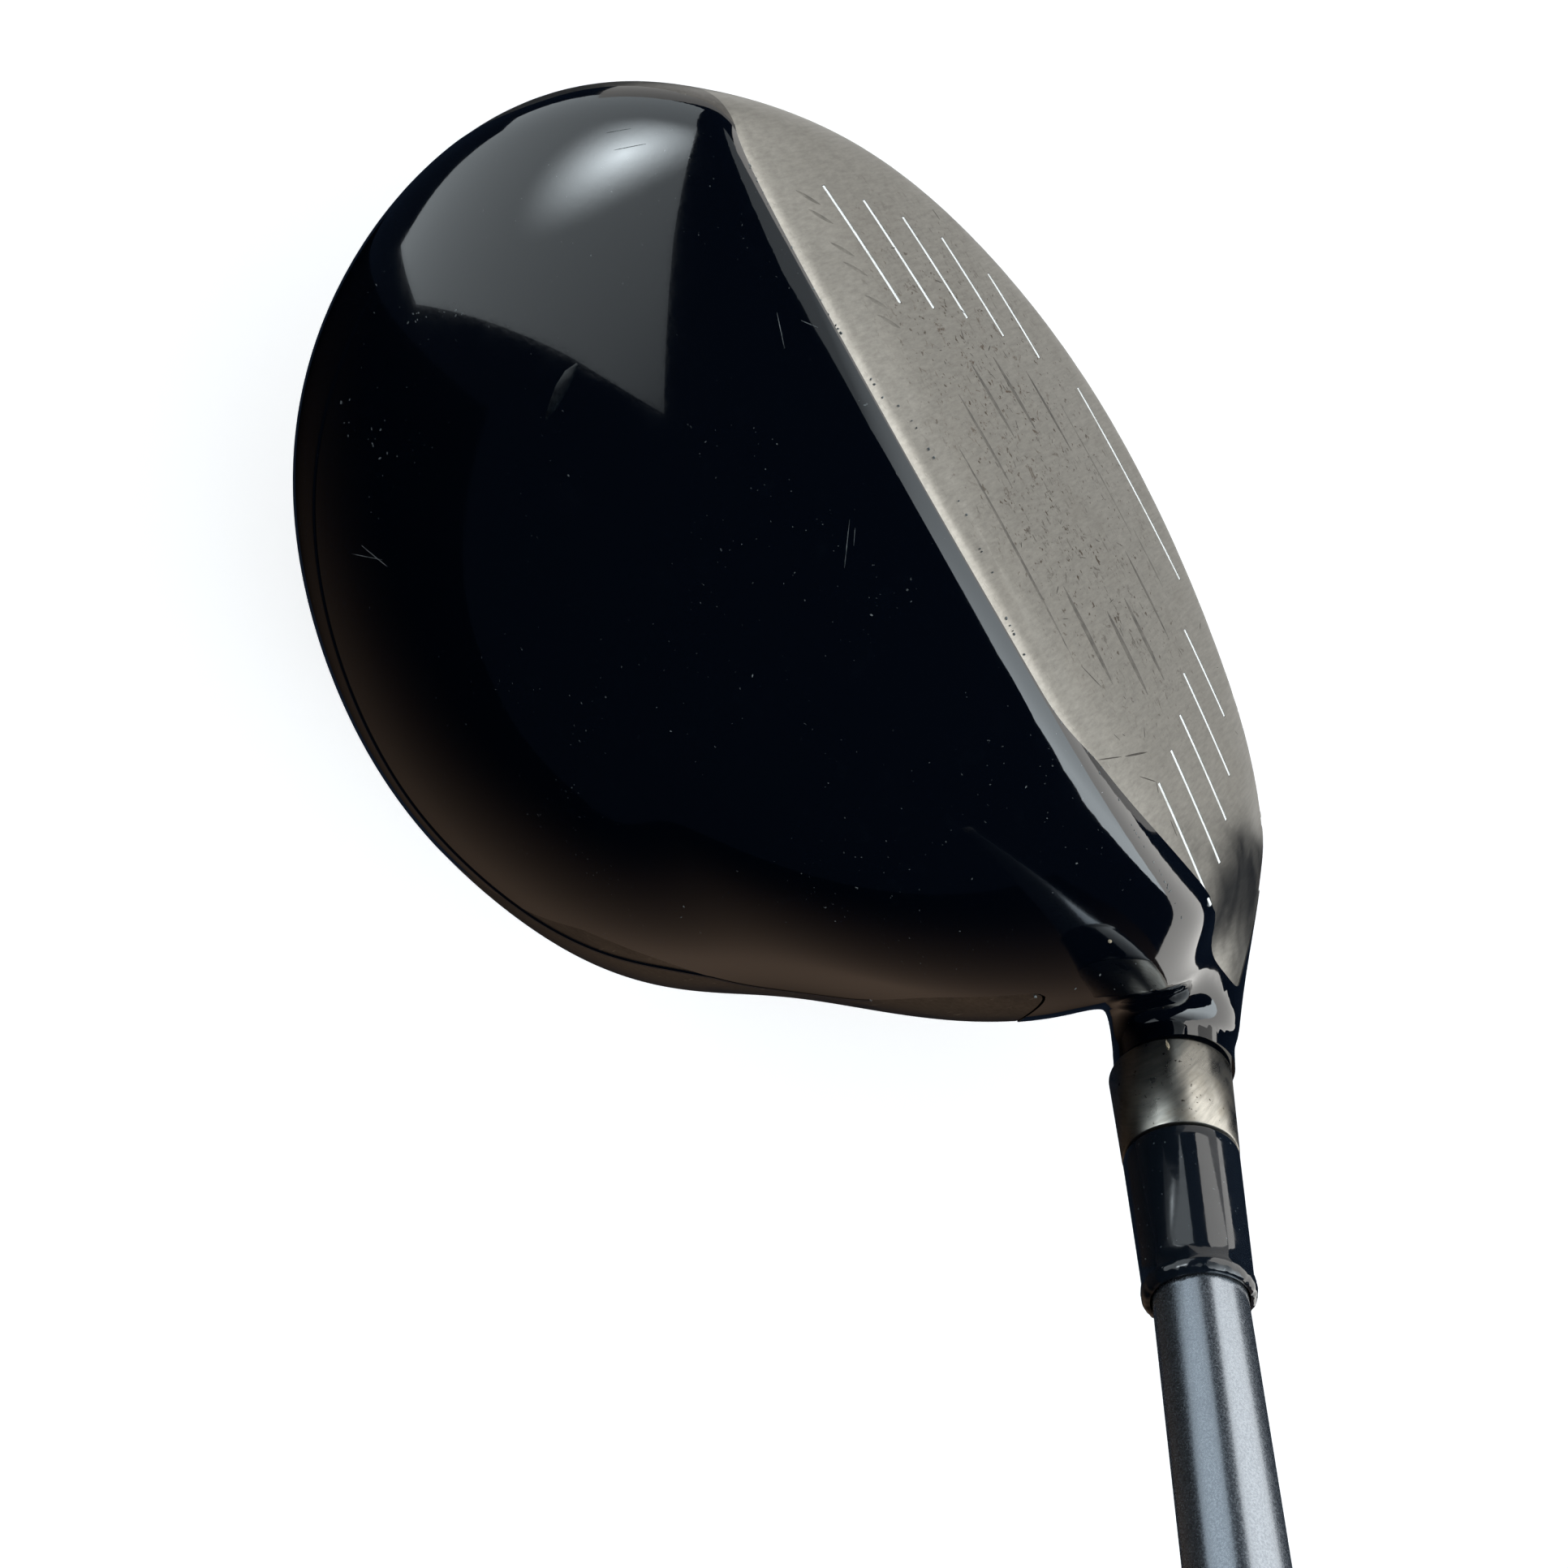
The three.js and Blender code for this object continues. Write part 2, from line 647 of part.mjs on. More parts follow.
add(stem, 'hosel_tube', hoselTube(), brushedHosel());
add(stem, 'ferrule', ferrule(), glossBlack());
add(stem, 'shaft', shaft(), shaftPaint());
add(stem, 'shaft_tip_plug', tipPlug(), cork());
add(stem, 'tip_weight_pin', tipWeightPin(), brass());
add(stem, 'grip_tape', gripTape(), paleTape());
add(stem, 'grip', grip(), gripRubber());
add(stem, 'grip_cap', gripCap(), gripRubber());

const faceFrame = new THREE.Group();
faceFrame.position.set(-SOLE_X, -SOLE_Y, 0);
faceFrame.add(head, stem);
club.add(faceFrame);

export default club;
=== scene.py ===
"""A golf driver: a hollow titanium head with a gloss crown and bare face, a ferrule, a shaft and a grip."""

import math
import random

import bmesh
import bpy
import numpy as np
from mathutils import Matrix, Vector


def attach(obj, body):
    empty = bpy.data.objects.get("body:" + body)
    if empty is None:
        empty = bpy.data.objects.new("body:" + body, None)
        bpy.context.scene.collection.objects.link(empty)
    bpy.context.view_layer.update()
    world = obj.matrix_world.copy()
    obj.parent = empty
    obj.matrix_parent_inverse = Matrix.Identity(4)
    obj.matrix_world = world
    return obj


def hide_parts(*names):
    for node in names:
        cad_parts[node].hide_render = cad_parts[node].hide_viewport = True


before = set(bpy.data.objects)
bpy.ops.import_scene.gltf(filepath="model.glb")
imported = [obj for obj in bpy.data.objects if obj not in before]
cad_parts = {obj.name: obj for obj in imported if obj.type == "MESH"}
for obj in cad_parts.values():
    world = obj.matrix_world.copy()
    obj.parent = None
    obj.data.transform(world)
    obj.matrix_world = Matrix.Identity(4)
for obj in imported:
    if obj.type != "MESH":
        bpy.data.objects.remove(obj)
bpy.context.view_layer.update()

# ---------------------------------------------------------------- dimensions
# The head is worked out in millimetres in its own frame: x from heel to toe, y from face to back, z up,
# with the origin on the ground under the middle of the face. ORIGIN is the middle of the sole in that frame.

MM = 0.001
ORIGIN = np.array([6.0, 38.0, 0.0])

LOFT = math.radians(10.5)
BULGE_RADIUS = 359.0
ROLL_RADIUS = 309.0
FACE_CENTRE = np.array([0.0, 0.0, 31.4])
FACE_EDGE_ROUND = 2.6

BODY_X = 6.2
BODY_Y = 43.7
# The outline, bowl, crown and neck sizes come from a fit to the photograph's silhouette, made by a separate
# program, then scaled by 1.04 and rounded. The bulge, roll and score line spacing come from the same fits.
OUTLINE_RADII = [59.4, 55.9, 49.8, 44.8, 42.2, 41.0, 45.7, 60.4, 57.8, 53.4, 54.3, 59.7]
GIRTH_Z = 32.4
GIRTH_SLOPE_X = 0.06
GIRTH_SLOPE_Y = -0.248
WALL_HEIGHT = 46.8
WALL_POWER = 2.5
SOLE_DROP = 6.2
SOLE_POWER = 3.0
CROWN_TOP_Z = 63.3
CROWN_BASE_Z = 30.0
CROWN_SLOPE_X = 0.08
CROWN_SLOPE_Y = -0.243
CROWN_SPREAD = 0.95
CROWN_POWER = 2.02
CROWN_EDGE_ROUND = 4.2
SOLE_X = 6.0
SOLE_Y = 38.0
CAMBER_X = 320.0
CAMBER_Y = 360.0
CAMBER_CUT = 0.25
SOLE_ROUND = 3.0

LIE = math.radians(59.7)
AXIS_FOOT = np.array([-34.0, 18.5, 0.0])
AXIS_UP = np.array([-math.cos(LIE), 0.0, math.sin(LIE)])
AXIS_SIDE = np.array([math.sin(LIE), 0.0, math.cos(LIE)])
AXIS_BACK = np.array([0.0, 1.0, 0.0])
NECK_RADIUS = 6.0
NECK_FLARE = 0.00096
NECK_SHIFT = 0.0021
NECK_START = 62.4
NECK_BLEND_BACK = 8.0
NECK_BLEND_FRONT = 23.2
NECK_FRONT_Y = 10.0
NECK_BACK_Y = 24.0
COLLAR_BLEND = 3.0
COLLAR_RADIUS = 7.0
COLLAR_FADE = 6.0
COLLAR_DEPTH = 5.0
NECK_FOOT = 18.7
NECK_TOP = 45.6

COLLAR_START = 45.9
COLLAR_END = 56.5
COLLAR_RADII = (6.49, 6.01)
HOSEL_FOOT = 16.0
HOSEL_TUBE_RADIUS = 5.45
HOSEL_BORE = 4.85
FERRULE_START = 56.8
FERRULE_END = 73.5
FERRULE_RADII = (5.93, 5.4)
TIP_START = 20.0
TIP_RADIUS = 4.45
PAINTED_TIP_RADIUS = 4.58
BUTT_RADIUS = 7.62
TAPER = 0.00318
SHAFT_WALL = 1.2
CLUB_LENGTH = 1143.0
CAP_THICKNESS = 5.0
GRIP_LENGTH = 268.0
GRIP_START = CLUB_LENGTH - GRIP_LENGTH
GRIP_END = CLUB_LENGTH - CAP_THICKNESS - 0.3
GRIP_RADII = (9.6, 13.4)
GRIP_BORE = 8.57
VENT_RADIUS = 1.2

SHELL_WALL = 0.9
FACE_WALL = 2.6
PAINT_LIFT = 0.12
CELL = 0.85
LEVEL_STEP = 0.4
COLLAR_CLIP = 9.0
EDGE_GAP = 0.03

FACE_UP = np.array([0.0, math.sin(LOFT), math.cos(LOFT)])
FACE_OUT = np.array([0.0, -math.cos(LOFT), math.sin(LOFT)])
X_AXIS = np.array([1.0, 0.0, 0.0])

# Score lines: rows of painted lines at toe and heel, and one low line under the middle.
ROW_PITCH = 5.63
TOP_ROW = 12.0
LINE_INNER = (27.2, 25.6, 23.5, 20.4, 16.8)
LINE_OUTER = (40.9, 38.5, 35.8, 32.6, 27.4)
LOW_LINE_HALF = 12.1
GROOVE_WIDTH = 0.56
GROOVE_DEPTH = 0.4
FILL_WIDTH = 0.5
FILL_SUNK = 0.05

# Dark etched lines in the hitting area: toe end, heel end, height on the face, width.
ETCHED_LINES = (
    (12.2, -11.4, 17.1, 0.75),
    (16.6, 5.9, 11.6, 0.85), (-5.1, -16.1, 12.0, 1.25),
    (19.1, 10.3, 5.7, 1.0), (-9.8, -19.4, 5.9, 1.3),
    (18.7, 10.1, 0.3, 1.1), (-9.8, -19.4, 0.7, 1.2),
    (16.0, 6.3, -5.2, 0.8), (-5.8, -16.1, -5.2, 0.8),
    (11.4, -4.8, -8.9, 0.5), (-4.3, -11.5, -10.2, 0.5),
)

# Heights every 15 degrees round the body's middle, from the toe: the paint's end, then the crown's crease.
# They follow points picked in the photograph and cast onto the head by a separate program.
PAINT_END = (
    42, 38, 37, 37, 37.5, 39, 43, 49, 52.3, 54.3, 52.4, 47.9,
    48.4, 50.6, 47, 40, 38, 38, 40, 44, 49, 50, 48, 47,
)
CREASE = (
    49.3, 52.6, 54.7, 56.3, 57, 57, 56.2, 55.5, 54.9, 54.3, 52.4, 47.9,
    48.4, 50.6, 47, 40, 38, 38, 40, 44, 49, 50, 48, 47.8,
)
NECK_DIP_X = -40.0
NECK_DIP = 0.45
NECK_DIP_REACH = 8.0
PAINTED_NECK = 39.5
FACE_PAINT_GAP = 0.3
HEEL_PAINT_EXTRA = 4.6
HEEL_PAINT_X = -20.0
HEEL_PAINT_REACH = 22.0
SOLE_PAINT_GAP = 3.6
SOLE_PAINT_REACH = 5.0
PAINT_CORNER_ROUND = 3.0

BADGE_X = 8.0
BADGE_Y = 70.0
BADGE_HALF_X = 15.3
BADGE_HALF_Y = 7.8
BADGE_RECESS = 1.05


# ---------------------------------------------------------------- the head's surface

def smooth_max(a, b, width):
    overlap = np.maximum(width - np.abs(a - b), 0) / width
    return np.maximum(a, b) + overlap ** 3 * width / 6


def smooth_min(a, b, width):
    return -smooth_max(-a, -b, width)


def eased(share):
    share = np.clip(share, 0, 1)
    return share * share * (3 - 2 * share)


def face_field(p):
    """Distance to the face surface, positive in front of it."""
    q = p - FACE_CENTRE
    s = q @ FACE_UP
    return q @ FACE_OUT + p[..., 0] ** 2 / (2 * BULGE_RADIUS) + s ** 2 / (2 * ROLL_RADIUS)


def outline_radius(angle):
    """A smooth closed outline through the radii, by trigonometric interpolation."""
    count = len(OUTLINE_RADII)
    radius = 0.0
    for k, value in enumerate(OUTLINE_RADII):
        turn = angle - 2 * math.pi * k / count
        near = np.abs(np.sin(turn / 2)) < 1e-7
        turn = np.where(near, 1e-3, turn)
        share = np.sin(count * turn / 2) / (count * np.tan(turn / 2))
        radius = radius + value * np.where(near, 1.0, share)
    return radius


def superellipse(across, up, width, height, power):
    """Distance to a superellipse with half axes width and height, for points at the given shares of them."""
    q = np.abs(across) + 1e-6
    h = np.abs(up) + 1e-6
    size = (q ** power + h ** power) ** (1 / power)
    slope = np.hypot((q / size) ** (power - 1) / width, (h / size) ** (power - 1) / height)
    return (size - 1) / np.maximum(slope, 1e-4)


def bowl_field(x, y, z, rho, radius):
    girth = GIRTH_Z + GIRTH_SLOPE_Y * y + GIRTH_SLOPE_X * x
    rise = z - girth
    depth = girth + SOLE_DROP
    upper = superellipse(rho / radius, rise / WALL_HEIGHT, radius, WALL_HEIGHT, WALL_POWER)
    lower = superellipse(rho / radius, rise / depth, radius, depth, SOLE_POWER)
    return np.where(rise > 0, upper, lower)


def crown_field(x, y, z, rho, radius):
    base = CROWN_BASE_Z + CROWN_SLOPE_Y * y + CROWN_SLOPE_X * x
    height = CROWN_TOP_Z - base
    spread = radius / CROWN_SPREAD
    dome = superellipse(rho / spread, (z - base) / height, spread, height, CROWN_POWER)
    return np.where(z < base, rho - spread, dome)


def sole_field(p):
    camber = (p[..., 0] - SOLE_X) ** 2 / (2 * CAMBER_X) + (p[..., 1] - SOLE_Y) ** 2 / (2 * CAMBER_Y)
    return camber - CAMBER_CUT - p[..., 2]


def neck_field(p):
    q = p - AXIS_FOOT
    along = q @ AXIS_UP
    q = q - along[..., None] * AXIS_UP
    reach = np.maximum(NECK_START - along, 0)
    q[..., 1] += NECK_SHIFT * reach ** 2
    side = np.linalg.norm(q, axis=-1) - (NECK_RADIUS + NECK_FLARE * reach ** 2)
    return np.maximum(np.maximum(side, NECK_FOOT - along), along - NECK_TOP - 3)


def along_axis(p):
    return (p - AXIS_FOOT) @ AXIS_UP


def from_axis(p):
    q = p - AXIS_FOOT
    return np.linalg.norm(q - (q @ AXIS_UP)[..., None] * AXIS_UP, axis=-1)


def neck_blend(p):
    """The width of the blend from neck to body at a point."""
    near = 1 - eased((from_axis(p) - COLLAR_RADIUS) / COLLAR_FADE)
    near = near * (1 - eased((NECK_TOP - along_axis(p)) / COLLAR_DEPTH))
    share = eased((NECK_BACK_Y - p[..., 1]) / (NECK_BACK_Y - NECK_FRONT_Y))
    wide = NECK_BLEND_BACK + (NECK_BLEND_FRONT - NECK_BLEND_BACK) * share
    return COLLAR_BLEND + (wide - COLLAR_BLEND) * (1 - near)


def head_field(p):
    """Negative inside the head."""
    x = p[..., 0] - BODY_X
    y = p[..., 1] - BODY_Y
    z = p[..., 2]
    rho = np.hypot(x, y)
    radius = outline_radius(np.arctan2(y, x))
    bowl = bowl_field(x, y, z, rho, radius)
    crown = crown_field(x, y, z, rho, radius)
    shell = smooth_max(smooth_max(bowl, crown, CROWN_EDGE_ROUND), sole_field(p), SOLE_ROUND)
    body = smooth_min(shell, neck_field(p), neck_blend(p))
    return np.maximum(smooth_max(body, face_field(p), FACE_EDGE_ROUND), -z)


def gradient(field, p, step=0.02):
    parts = [(field(p + step * axis) - field(p - step * axis)) / (2 * step) for axis in np.eye(3)]
    return np.stack(parts, -1)


def head_normals(p):
    g = gradient(head_field, p)
    return g / np.linalg.norm(g, axis=-1, keepdims=True)


def height_round(heights, p):
    """A smooth height for each direction from the body's middle, through the listed ones."""
    count = len(heights)
    values = np.array(heights, float)
    turn = np.arctan2(p[..., 1] - BODY_Y, p[..., 0] - BODY_X) / (2 * math.pi) * count
    first = np.floor(turn).astype(int)
    t = turn - first
    a, b, c, d = (values[(first + k) % count] for k in (-1, 0, 1, 2))
    bend = 2 * a - 5 * b + 4 * c - d + (3 * b - a - 3 * c + d) * t
    return b + 0.5 * t * (c - a + t * bend)


def neck_dip(p):
    return NECK_DIP * np.clip(NECK_DIP_X - p[..., 0], 0, NECK_DIP_REACH) ** 2


def above_seam(p):
    """Height above the line where the crown's paint ends, which dips under the neck at the heel."""
    return p[..., 2] - height_round(PAINT_END, p) + neck_dip(p)


def above_crease(p):
    return p[..., 2] - height_round(CREASE, p) + neck_dip(p)


def behind_face(p):
    """Distance behind the bare metal's edge, which lies further back at the heel and on the sole."""
    paint_edge = FACE_PAINT_GAP + HEEL_PAINT_EXTRA * eased((HEEL_PAINT_X - p[..., 0]) / HEEL_PAINT_REACH)
    share = eased(-above_seam(p) / SOLE_PAINT_REACH)
    behind = -face_field(p) - (paint_edge * (1 - share) + SOLE_PAINT_GAP * share)
    return smooth_max(behind, along_axis(p) - PAINTED_NECK, PAINT_CORNER_ROUND)


# ---------------------------------------------------------------- meshing

def net_points(value, axes):
    """One point in each grid cell that the surface crosses, at the middle of its edge crossings."""
    inside = value < 0
    shape = tuple(n - 1 for n in inside.shape)
    total = np.zeros(shape + (3,))
    count = np.zeros(shape)
    for axis in range(3):
        for i in (0, 1):
            for j in (0, 1):
                start = [0, 0, 0]
                start[(axis + 1) % 3] = i
                start[(axis + 2) % 3] = j
                near = tuple(slice(s, s + n) for s, n in zip(start, shape))
                start[axis] = 1
                far = tuple(slice(s, s + n) for s, n in zip(start, shape))
                crossed = inside[near] != inside[far]
                span = np.where(crossed, value[near] - value[far], 1.0)
                place = np.array(start, float)
                place[axis] = 0
                point = np.broadcast_to(place, shape + (3,)).copy()
                point[..., axis] += value[near] / span
                total += np.where(crossed[..., None], point, 0)
                count += crossed
    active = count > 0
    cells = np.argwhere(active)
    low = np.array([a[0] for a in axes])
    points = low + CELL * (cells + total[active] / count[active][:, None])
    index = np.full(shape, -1)
    index[active] = np.arange(len(points))
    return points, index


def net_quads(inside, index):
    """A quad round each grid edge that the surface crosses."""
    quads = []
    for axis in range(3):
        order = (axis, (axis + 1) % 3, (axis + 2) % 3)
        solid = np.transpose(inside, order)
        cell = np.transpose(index, order)
        first = solid[:-1, 1:-1, 1:-1]
        second = solid[1:, 1:-1, 1:-1]
        ring = np.stack([cell[:, :-1, :-1], cell[:, 1:, :-1], cell[:, 1:, 1:], cell[:, :-1, 1:]], -1)
        quads.append(ring[first & ~second])
        quads.append(ring[~first & second][:, ::-1])
    return np.concatenate(quads)


def settled(p, level=None):
    """Moves points onto the head's surface, and onto a level set too if one is given."""
    for _ in range(5):
        g = gradient(head_field, p)
        p = p - (head_field(p) / (g ** 2).sum(-1))[..., None] * g
        if level is not None:
            n = g / np.linalg.norm(g, axis=-1, keepdims=True)
            h = gradient(level, p)
            h = h - (h * n).sum(-1, keepdims=True) * n
            step = -(level(p) / np.maximum((h ** 2).sum(-1), 1e-6))[..., None] * h
            size = np.linalg.norm(step, axis=-1, keepdims=True)
            p = p + step * np.minimum(1, LEVEL_STEP / np.maximum(size, 1e-9))
    return p


def head_net():
    """The whole head as points on the surface and triangles."""
    low = np.array([-68.0, -6.0, -2.0])
    high = np.array([70.0, 93.0, 67.0])
    axes = [np.arange(a, b, CELL) for a, b in zip(low, high)]
    grid = np.stack(np.meshgrid(*axes, indexing="ij"), -1)
    value = head_field(grid)
    points, index = net_points(value, axes)
    quads = net_quads(value < 0, index)
    triangles = np.concatenate([quads[:, [0, 1, 2]], quads[:, [0, 2, 3]]])
    return settled(points), triangles


def clipped(points, triangles, level):
    """The part of a surface where level is below zero, with its border settled on level zero."""
    value = level(points)
    inside = value < 0
    kept = inside[triangles].sum(1)
    whole = triangles[kept == 3]
    edges = {}
    border = []
    extra = []

    def crossing(a, b):
        key = (a, b) if a < b else (b, a)
        if key not in edges:
            t = value[a] / (value[a] - value[b])
            edges[key] = len(points) + len(border)
            border.append(points[a] + t * (points[b] - points[a]))
        return edges[key]

    for triangle in triangles[(kept == 1) | (kept == 2)].tolist():
        flags = [bool(inside[v]) for v in triangle]
        alone = flags.index(True) if sum(flags) == 1 else flags.index(False)
        a, b, c = triangle[alone], triangle[(alone + 1) % 3], triangle[(alone + 2) % 3]
        ab = crossing(a, b)
        ca = crossing(c, a)
        if sum(flags) == 1:
            extra.append((a, ab, ca))
        else:
            extra.append((ab, b, c))
            extra.append((ab, c, ca))
    if border:
        points = np.concatenate([points, settled(np.array(border), level)])
        whole = np.concatenate([whole, np.array(extra)])
    used = np.unique(whole)
    renumber = np.full(len(points), -1)
    renumber[used] = np.arange(len(used))
    return points[used], renumber[whole]


def walled(points, triangles, wall, lift=0.0):
    """A closed shell: the surface raised by lift, its inner side, and a rim between them."""
    normals = head_normals(points)
    outer = points + lift * normals
    inner = points - wall * normals
    count = len(points)
    directed = np.concatenate([triangles[:, [0, 1]], triangles[:, [1, 2]], triangles[:, [2, 0]]])
    forward = {(a, b) for a, b in directed.tolist()}
    open_edges = [(a, b) for a, b in forward if (b, a) not in forward]
    open_edges.sort()
    rim = [(b, a, a + count, b + count) for a, b in open_edges]
    faces = triangles.tolist() + (triangles[:, ::-1] + count).tolist() + rim
    return np.concatenate([outer, inner]), faces


# ---------------------------------------------------------------- objects

def to_row(points):
    """From the head's own frame in millimetres to the model's frame in metres."""
    return (np.asarray(points, float) - ORIGIN) * MM


def make_object(name, points, faces, material, slot):
    mesh = bpy.data.meshes.new(name)
    mesh.from_pydata(to_row(points).tolist(), [], [tuple(f) for f in faces])
    mesh.validate()
    mesh.materials.append(material)
    mesh.polygons.foreach_set("use_smooth", [True] * len(mesh.polygons))
    mesh.update()
    piece = bpy.data.objects.new(name, mesh)
    bpy.context.scene.collection.objects.link(piece)
    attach(piece, "root")
    return piece


def shade_like_head(piece):
    """Takes the exact surface's normals wherever a facet lies along the head's surface."""
    mesh = piece.data
    corners = np.zeros(len(mesh.loops), int)
    mesh.loops.foreach_get("vertex_index", corners)
    places = np.zeros(len(mesh.vertices) * 3)
    mesh.vertices.foreach_get("co", places)
    smooth = head_normals(places.reshape(-1, 3) / MM + ORIGIN)[corners]
    flat = np.zeros(len(mesh.polygons) * 3)
    mesh.polygons.foreach_get("normal", flat)
    sizes = np.zeros(len(mesh.polygons), int)
    mesh.polygons.foreach_get("loop_total", sizes)
    flat = np.repeat(flat.reshape(-1, 3), sizes, axis=0)
    agree = (smooth * flat).sum(1)
    normals = np.where(agree[:, None] > 0.8, smooth, flat)
    normals = np.where(agree[:, None] < -0.8, -smooth, normals)
    mesh.normals_split_custom_set(normals.tolist())


def cut(piece, cutters):
    """Takes closed cutters out of a piece and applies the result."""
    for cutter in cutters:
        step = piece.modifiers.new("cut", "BOOLEAN")
        step.operation = "DIFFERENCE"
        step.solver = "EXACT"
        step.object = cutter
    graph = bpy.context.evaluated_depsgraph_get()
    made = bpy.data.meshes.new_from_object(piece.evaluated_get(graph))
    piece.modifiers.clear()
    piece.data = made
    for cutter in cutters:
        bpy.data.objects.remove(cutter)


def ring_directions(sides):
    turns = 2 * math.pi * np.arange(sides) / sides
    return np.cos(turns)[:, None] * AXIS_SIDE + np.sin(turns)[:, None] * AXIS_BACK


def ring_quads(count, sides):
    """Quads between neighbouring rings of points, and from the last ring back to the first."""
    faces = []
    for i in range(count):
        j = (i + 1) % count
        for k in range(sides):
            m = (k + 1) % sides
            faces.append((i * sides + k, i * sides + m, j * sides + m, j * sides + k))
    return faces


def turned(name, corners, sides, material, slot, smooth_angle=35):
    """A closed ring of revolution about the shaft axis, through [radius, distance along the axis] corners."""
    around = ring_directions(sides)
    rings = [AXIS_FOOT + along * AXIS_UP + radius * around for radius, along in corners]
    piece = make_object(name, np.concatenate(rings), ring_quads(len(corners), sides), material, slot)
    mend(piece, smooth_angle)
    return piece


def mend(piece, smooth_angle):
    """Turns every facet outwards and marks the sharp edges."""
    work = bmesh.new()
    work.from_mesh(piece.data)
    bmesh.ops.remove_doubles(work, verts=work.verts, dist=1e-7)
    bmesh.ops.recalc_face_normals(work, faces=work.faces)
    work.to_mesh(piece.data)
    work.free()
    piece.data.polygons.foreach_set("use_smooth", [True] * len(piece.data.polygons))
    piece.data.set_sharp_from_angle(angle=math.radians(smooth_angle))


def face_point(x, s, out=0.0):
    """A point on the face at x across and s up, and a distance in front of the surface."""
    sag = x ** 2 / (2 * BULGE_RADIUS) + s ** 2 / (2 * ROLL_RADIUS)
    return FACE_CENTRE + x * X_AXIS + s * FACE_UP + (out - sag) * FACE_OUT


def face_bar(x, s, half, width, top, bottom):
    """Points and faces of a bar along x on the face, bent to its bulge, from top to bottom in front of it."""
    steps = 12
    points = []
    for i in range(steps + 1):
        at = x - half + 2 * half * i / steps
        for up, out in ((-1, bottom), (1, bottom), (1, top), (-1, top)):
            points.append(face_point(at, s + up * width / 2, out))
    faces = [(0, 1, 2, 3), tuple(4 * steps + k for k in (3, 2, 1, 0))]
    for i in range(steps):
        for k in range(4):
            m = (k + 1) % 4
            faces.append((4 * i + k, 4 * i + 4 + k, 4 * i + 4 + m, 4 * i + m))
    return points, faces


def score_lines():
    """Every painted line as name, x of its middle, height on the face and half length."""
    lines = []
    for row, (inner, outer) in enumerate(zip(LINE_INNER, LINE_OUTER)):
        half = (outer - inner) / 2
        s = TOP_ROW - ROW_PITCH * row
        lines.append((f"score_fill_toe_{row + 1}", inner + half, s, half))
        lines.append((f"score_fill_heel_{row + 1}", -inner - half, s, half))
    lines.append(("score_fill_low", 0.0, TOP_ROW - 5 * ROW_PITCH, LOW_LINE_HALF))
    return lines


# ---------------------------------------------------------------- material helpers

class Shader:
    """A node material with one Principled shader."""

    def __init__(self, name, color, roughness, metallic=0.0, **sockets):
        self.material = bpy.data.materials.new(name)
        self.material.use_nodes = True
        self.tree = self.material.node_tree
        self.surface = self.tree.nodes["Principled BSDF"]
        self.set("Base Color", (*color, 1.0))
        self.set("Roughness", roughness)
        self.set("Metallic", metallic)
        for key, value in sockets.items():
            self.set(key.replace("_", " "), value)
        self.place = self.node("ShaderNodeTexCoord").outputs["Object"]

    def set(self, socket, value):
        self.surface.inputs[socket].default_value = value

    def node(self, kind, **values):
        made = self.tree.nodes.new(kind)
        for key, value in values.items():
            setattr(made, key, value)
        return made

    def link(self, output, target):
        self.tree.links.new(output, target)

    def stretched(self, scale, turn=(0.0, 0.0, 0.0)):
        mapping = self.node("ShaderNodeMapping")
        mapping.inputs["Scale"].default_value = scale
        mapping.inputs["Rotation"].default_value = turn
        self.link(self.place, mapping.inputs["Vector"])
        return mapping.outputs["Vector"]

    def noise(self, scale, detail=3.0, vector=None, rough=0.55, twist=0.0):
        made = self.node("ShaderNodeTexNoise")
        made.inputs["Scale"].default_value = scale
        made.inputs["Detail"].default_value = detail
        made.inputs["Roughness"].default_value = rough
        made.inputs["Distortion"].default_value = twist
        self.link(vector or self.place, made.inputs["Vector"])
        return made.outputs["Fac"]

    def patch(self, centre, reach):
        """A soft round patch, 1 in its middle and 0 beyond its reach."""
        mapping = self.node("ShaderNodeMapping", vector_type="TEXTURE")
        mapping.inputs["Location"].default_value = centre
        mapping.inputs["Scale"].default_value = reach
        self.link(self.place, mapping.inputs["Vector"])
        ball = self.node("ShaderNodeTexGradient", gradient_type="SPHERICAL")
        self.link(mapping.outputs["Vector"], ball.inputs["Vector"])
        return ball.outputs["Fac"]

    def range(self, value, low, high, to_low=0.0, to_high=1.0):
        made = self.node("ShaderNodeMapRange")
        for key, number in (("From Min", low), ("From Max", high), ("To Min", to_low), ("To Max", to_high)):
            made.inputs[key].default_value = number
        self.link(value, made.inputs["Value"])
        return made.outputs["Result"]

    def math(self, operation, a, b):
        made = self.node("ShaderNodeMath", operation=operation)
        for value, target in ((a, made.inputs[0]), (b, made.inputs[1])):
            if isinstance(value, (int, float)):
                target.default_value = value
            else:
                self.link(value, target)
        return made.outputs[0]

    def mix(self, share, a, b):
        made = self.node("ShaderNodeMix", data_type="RGBA")
        self.link(share, made.inputs["Factor"])
        for value, target in ((a, made.inputs[6]), (b, made.inputs[7])):
            if isinstance(value, tuple):
                target.default_value = (*value, 1.0)
            else:
                self.link(value, target)
        return made.outputs[2]

    def bump(self, height, strength, distance):
        made = self.node("ShaderNodeBump")
        made.inputs["Strength"].default_value = strength
        made.inputs["Distance"].default_value = distance
        self.link(height, made.inputs["Height"])
        self.link(made.outputs["Normal"], self.surface.inputs["Normal"])

    def color(self, output):
        self.link(output, self.surface.inputs["Base Color"])

    def roughness(self, output):
        self.link(output, self.surface.inputs["Roughness"])


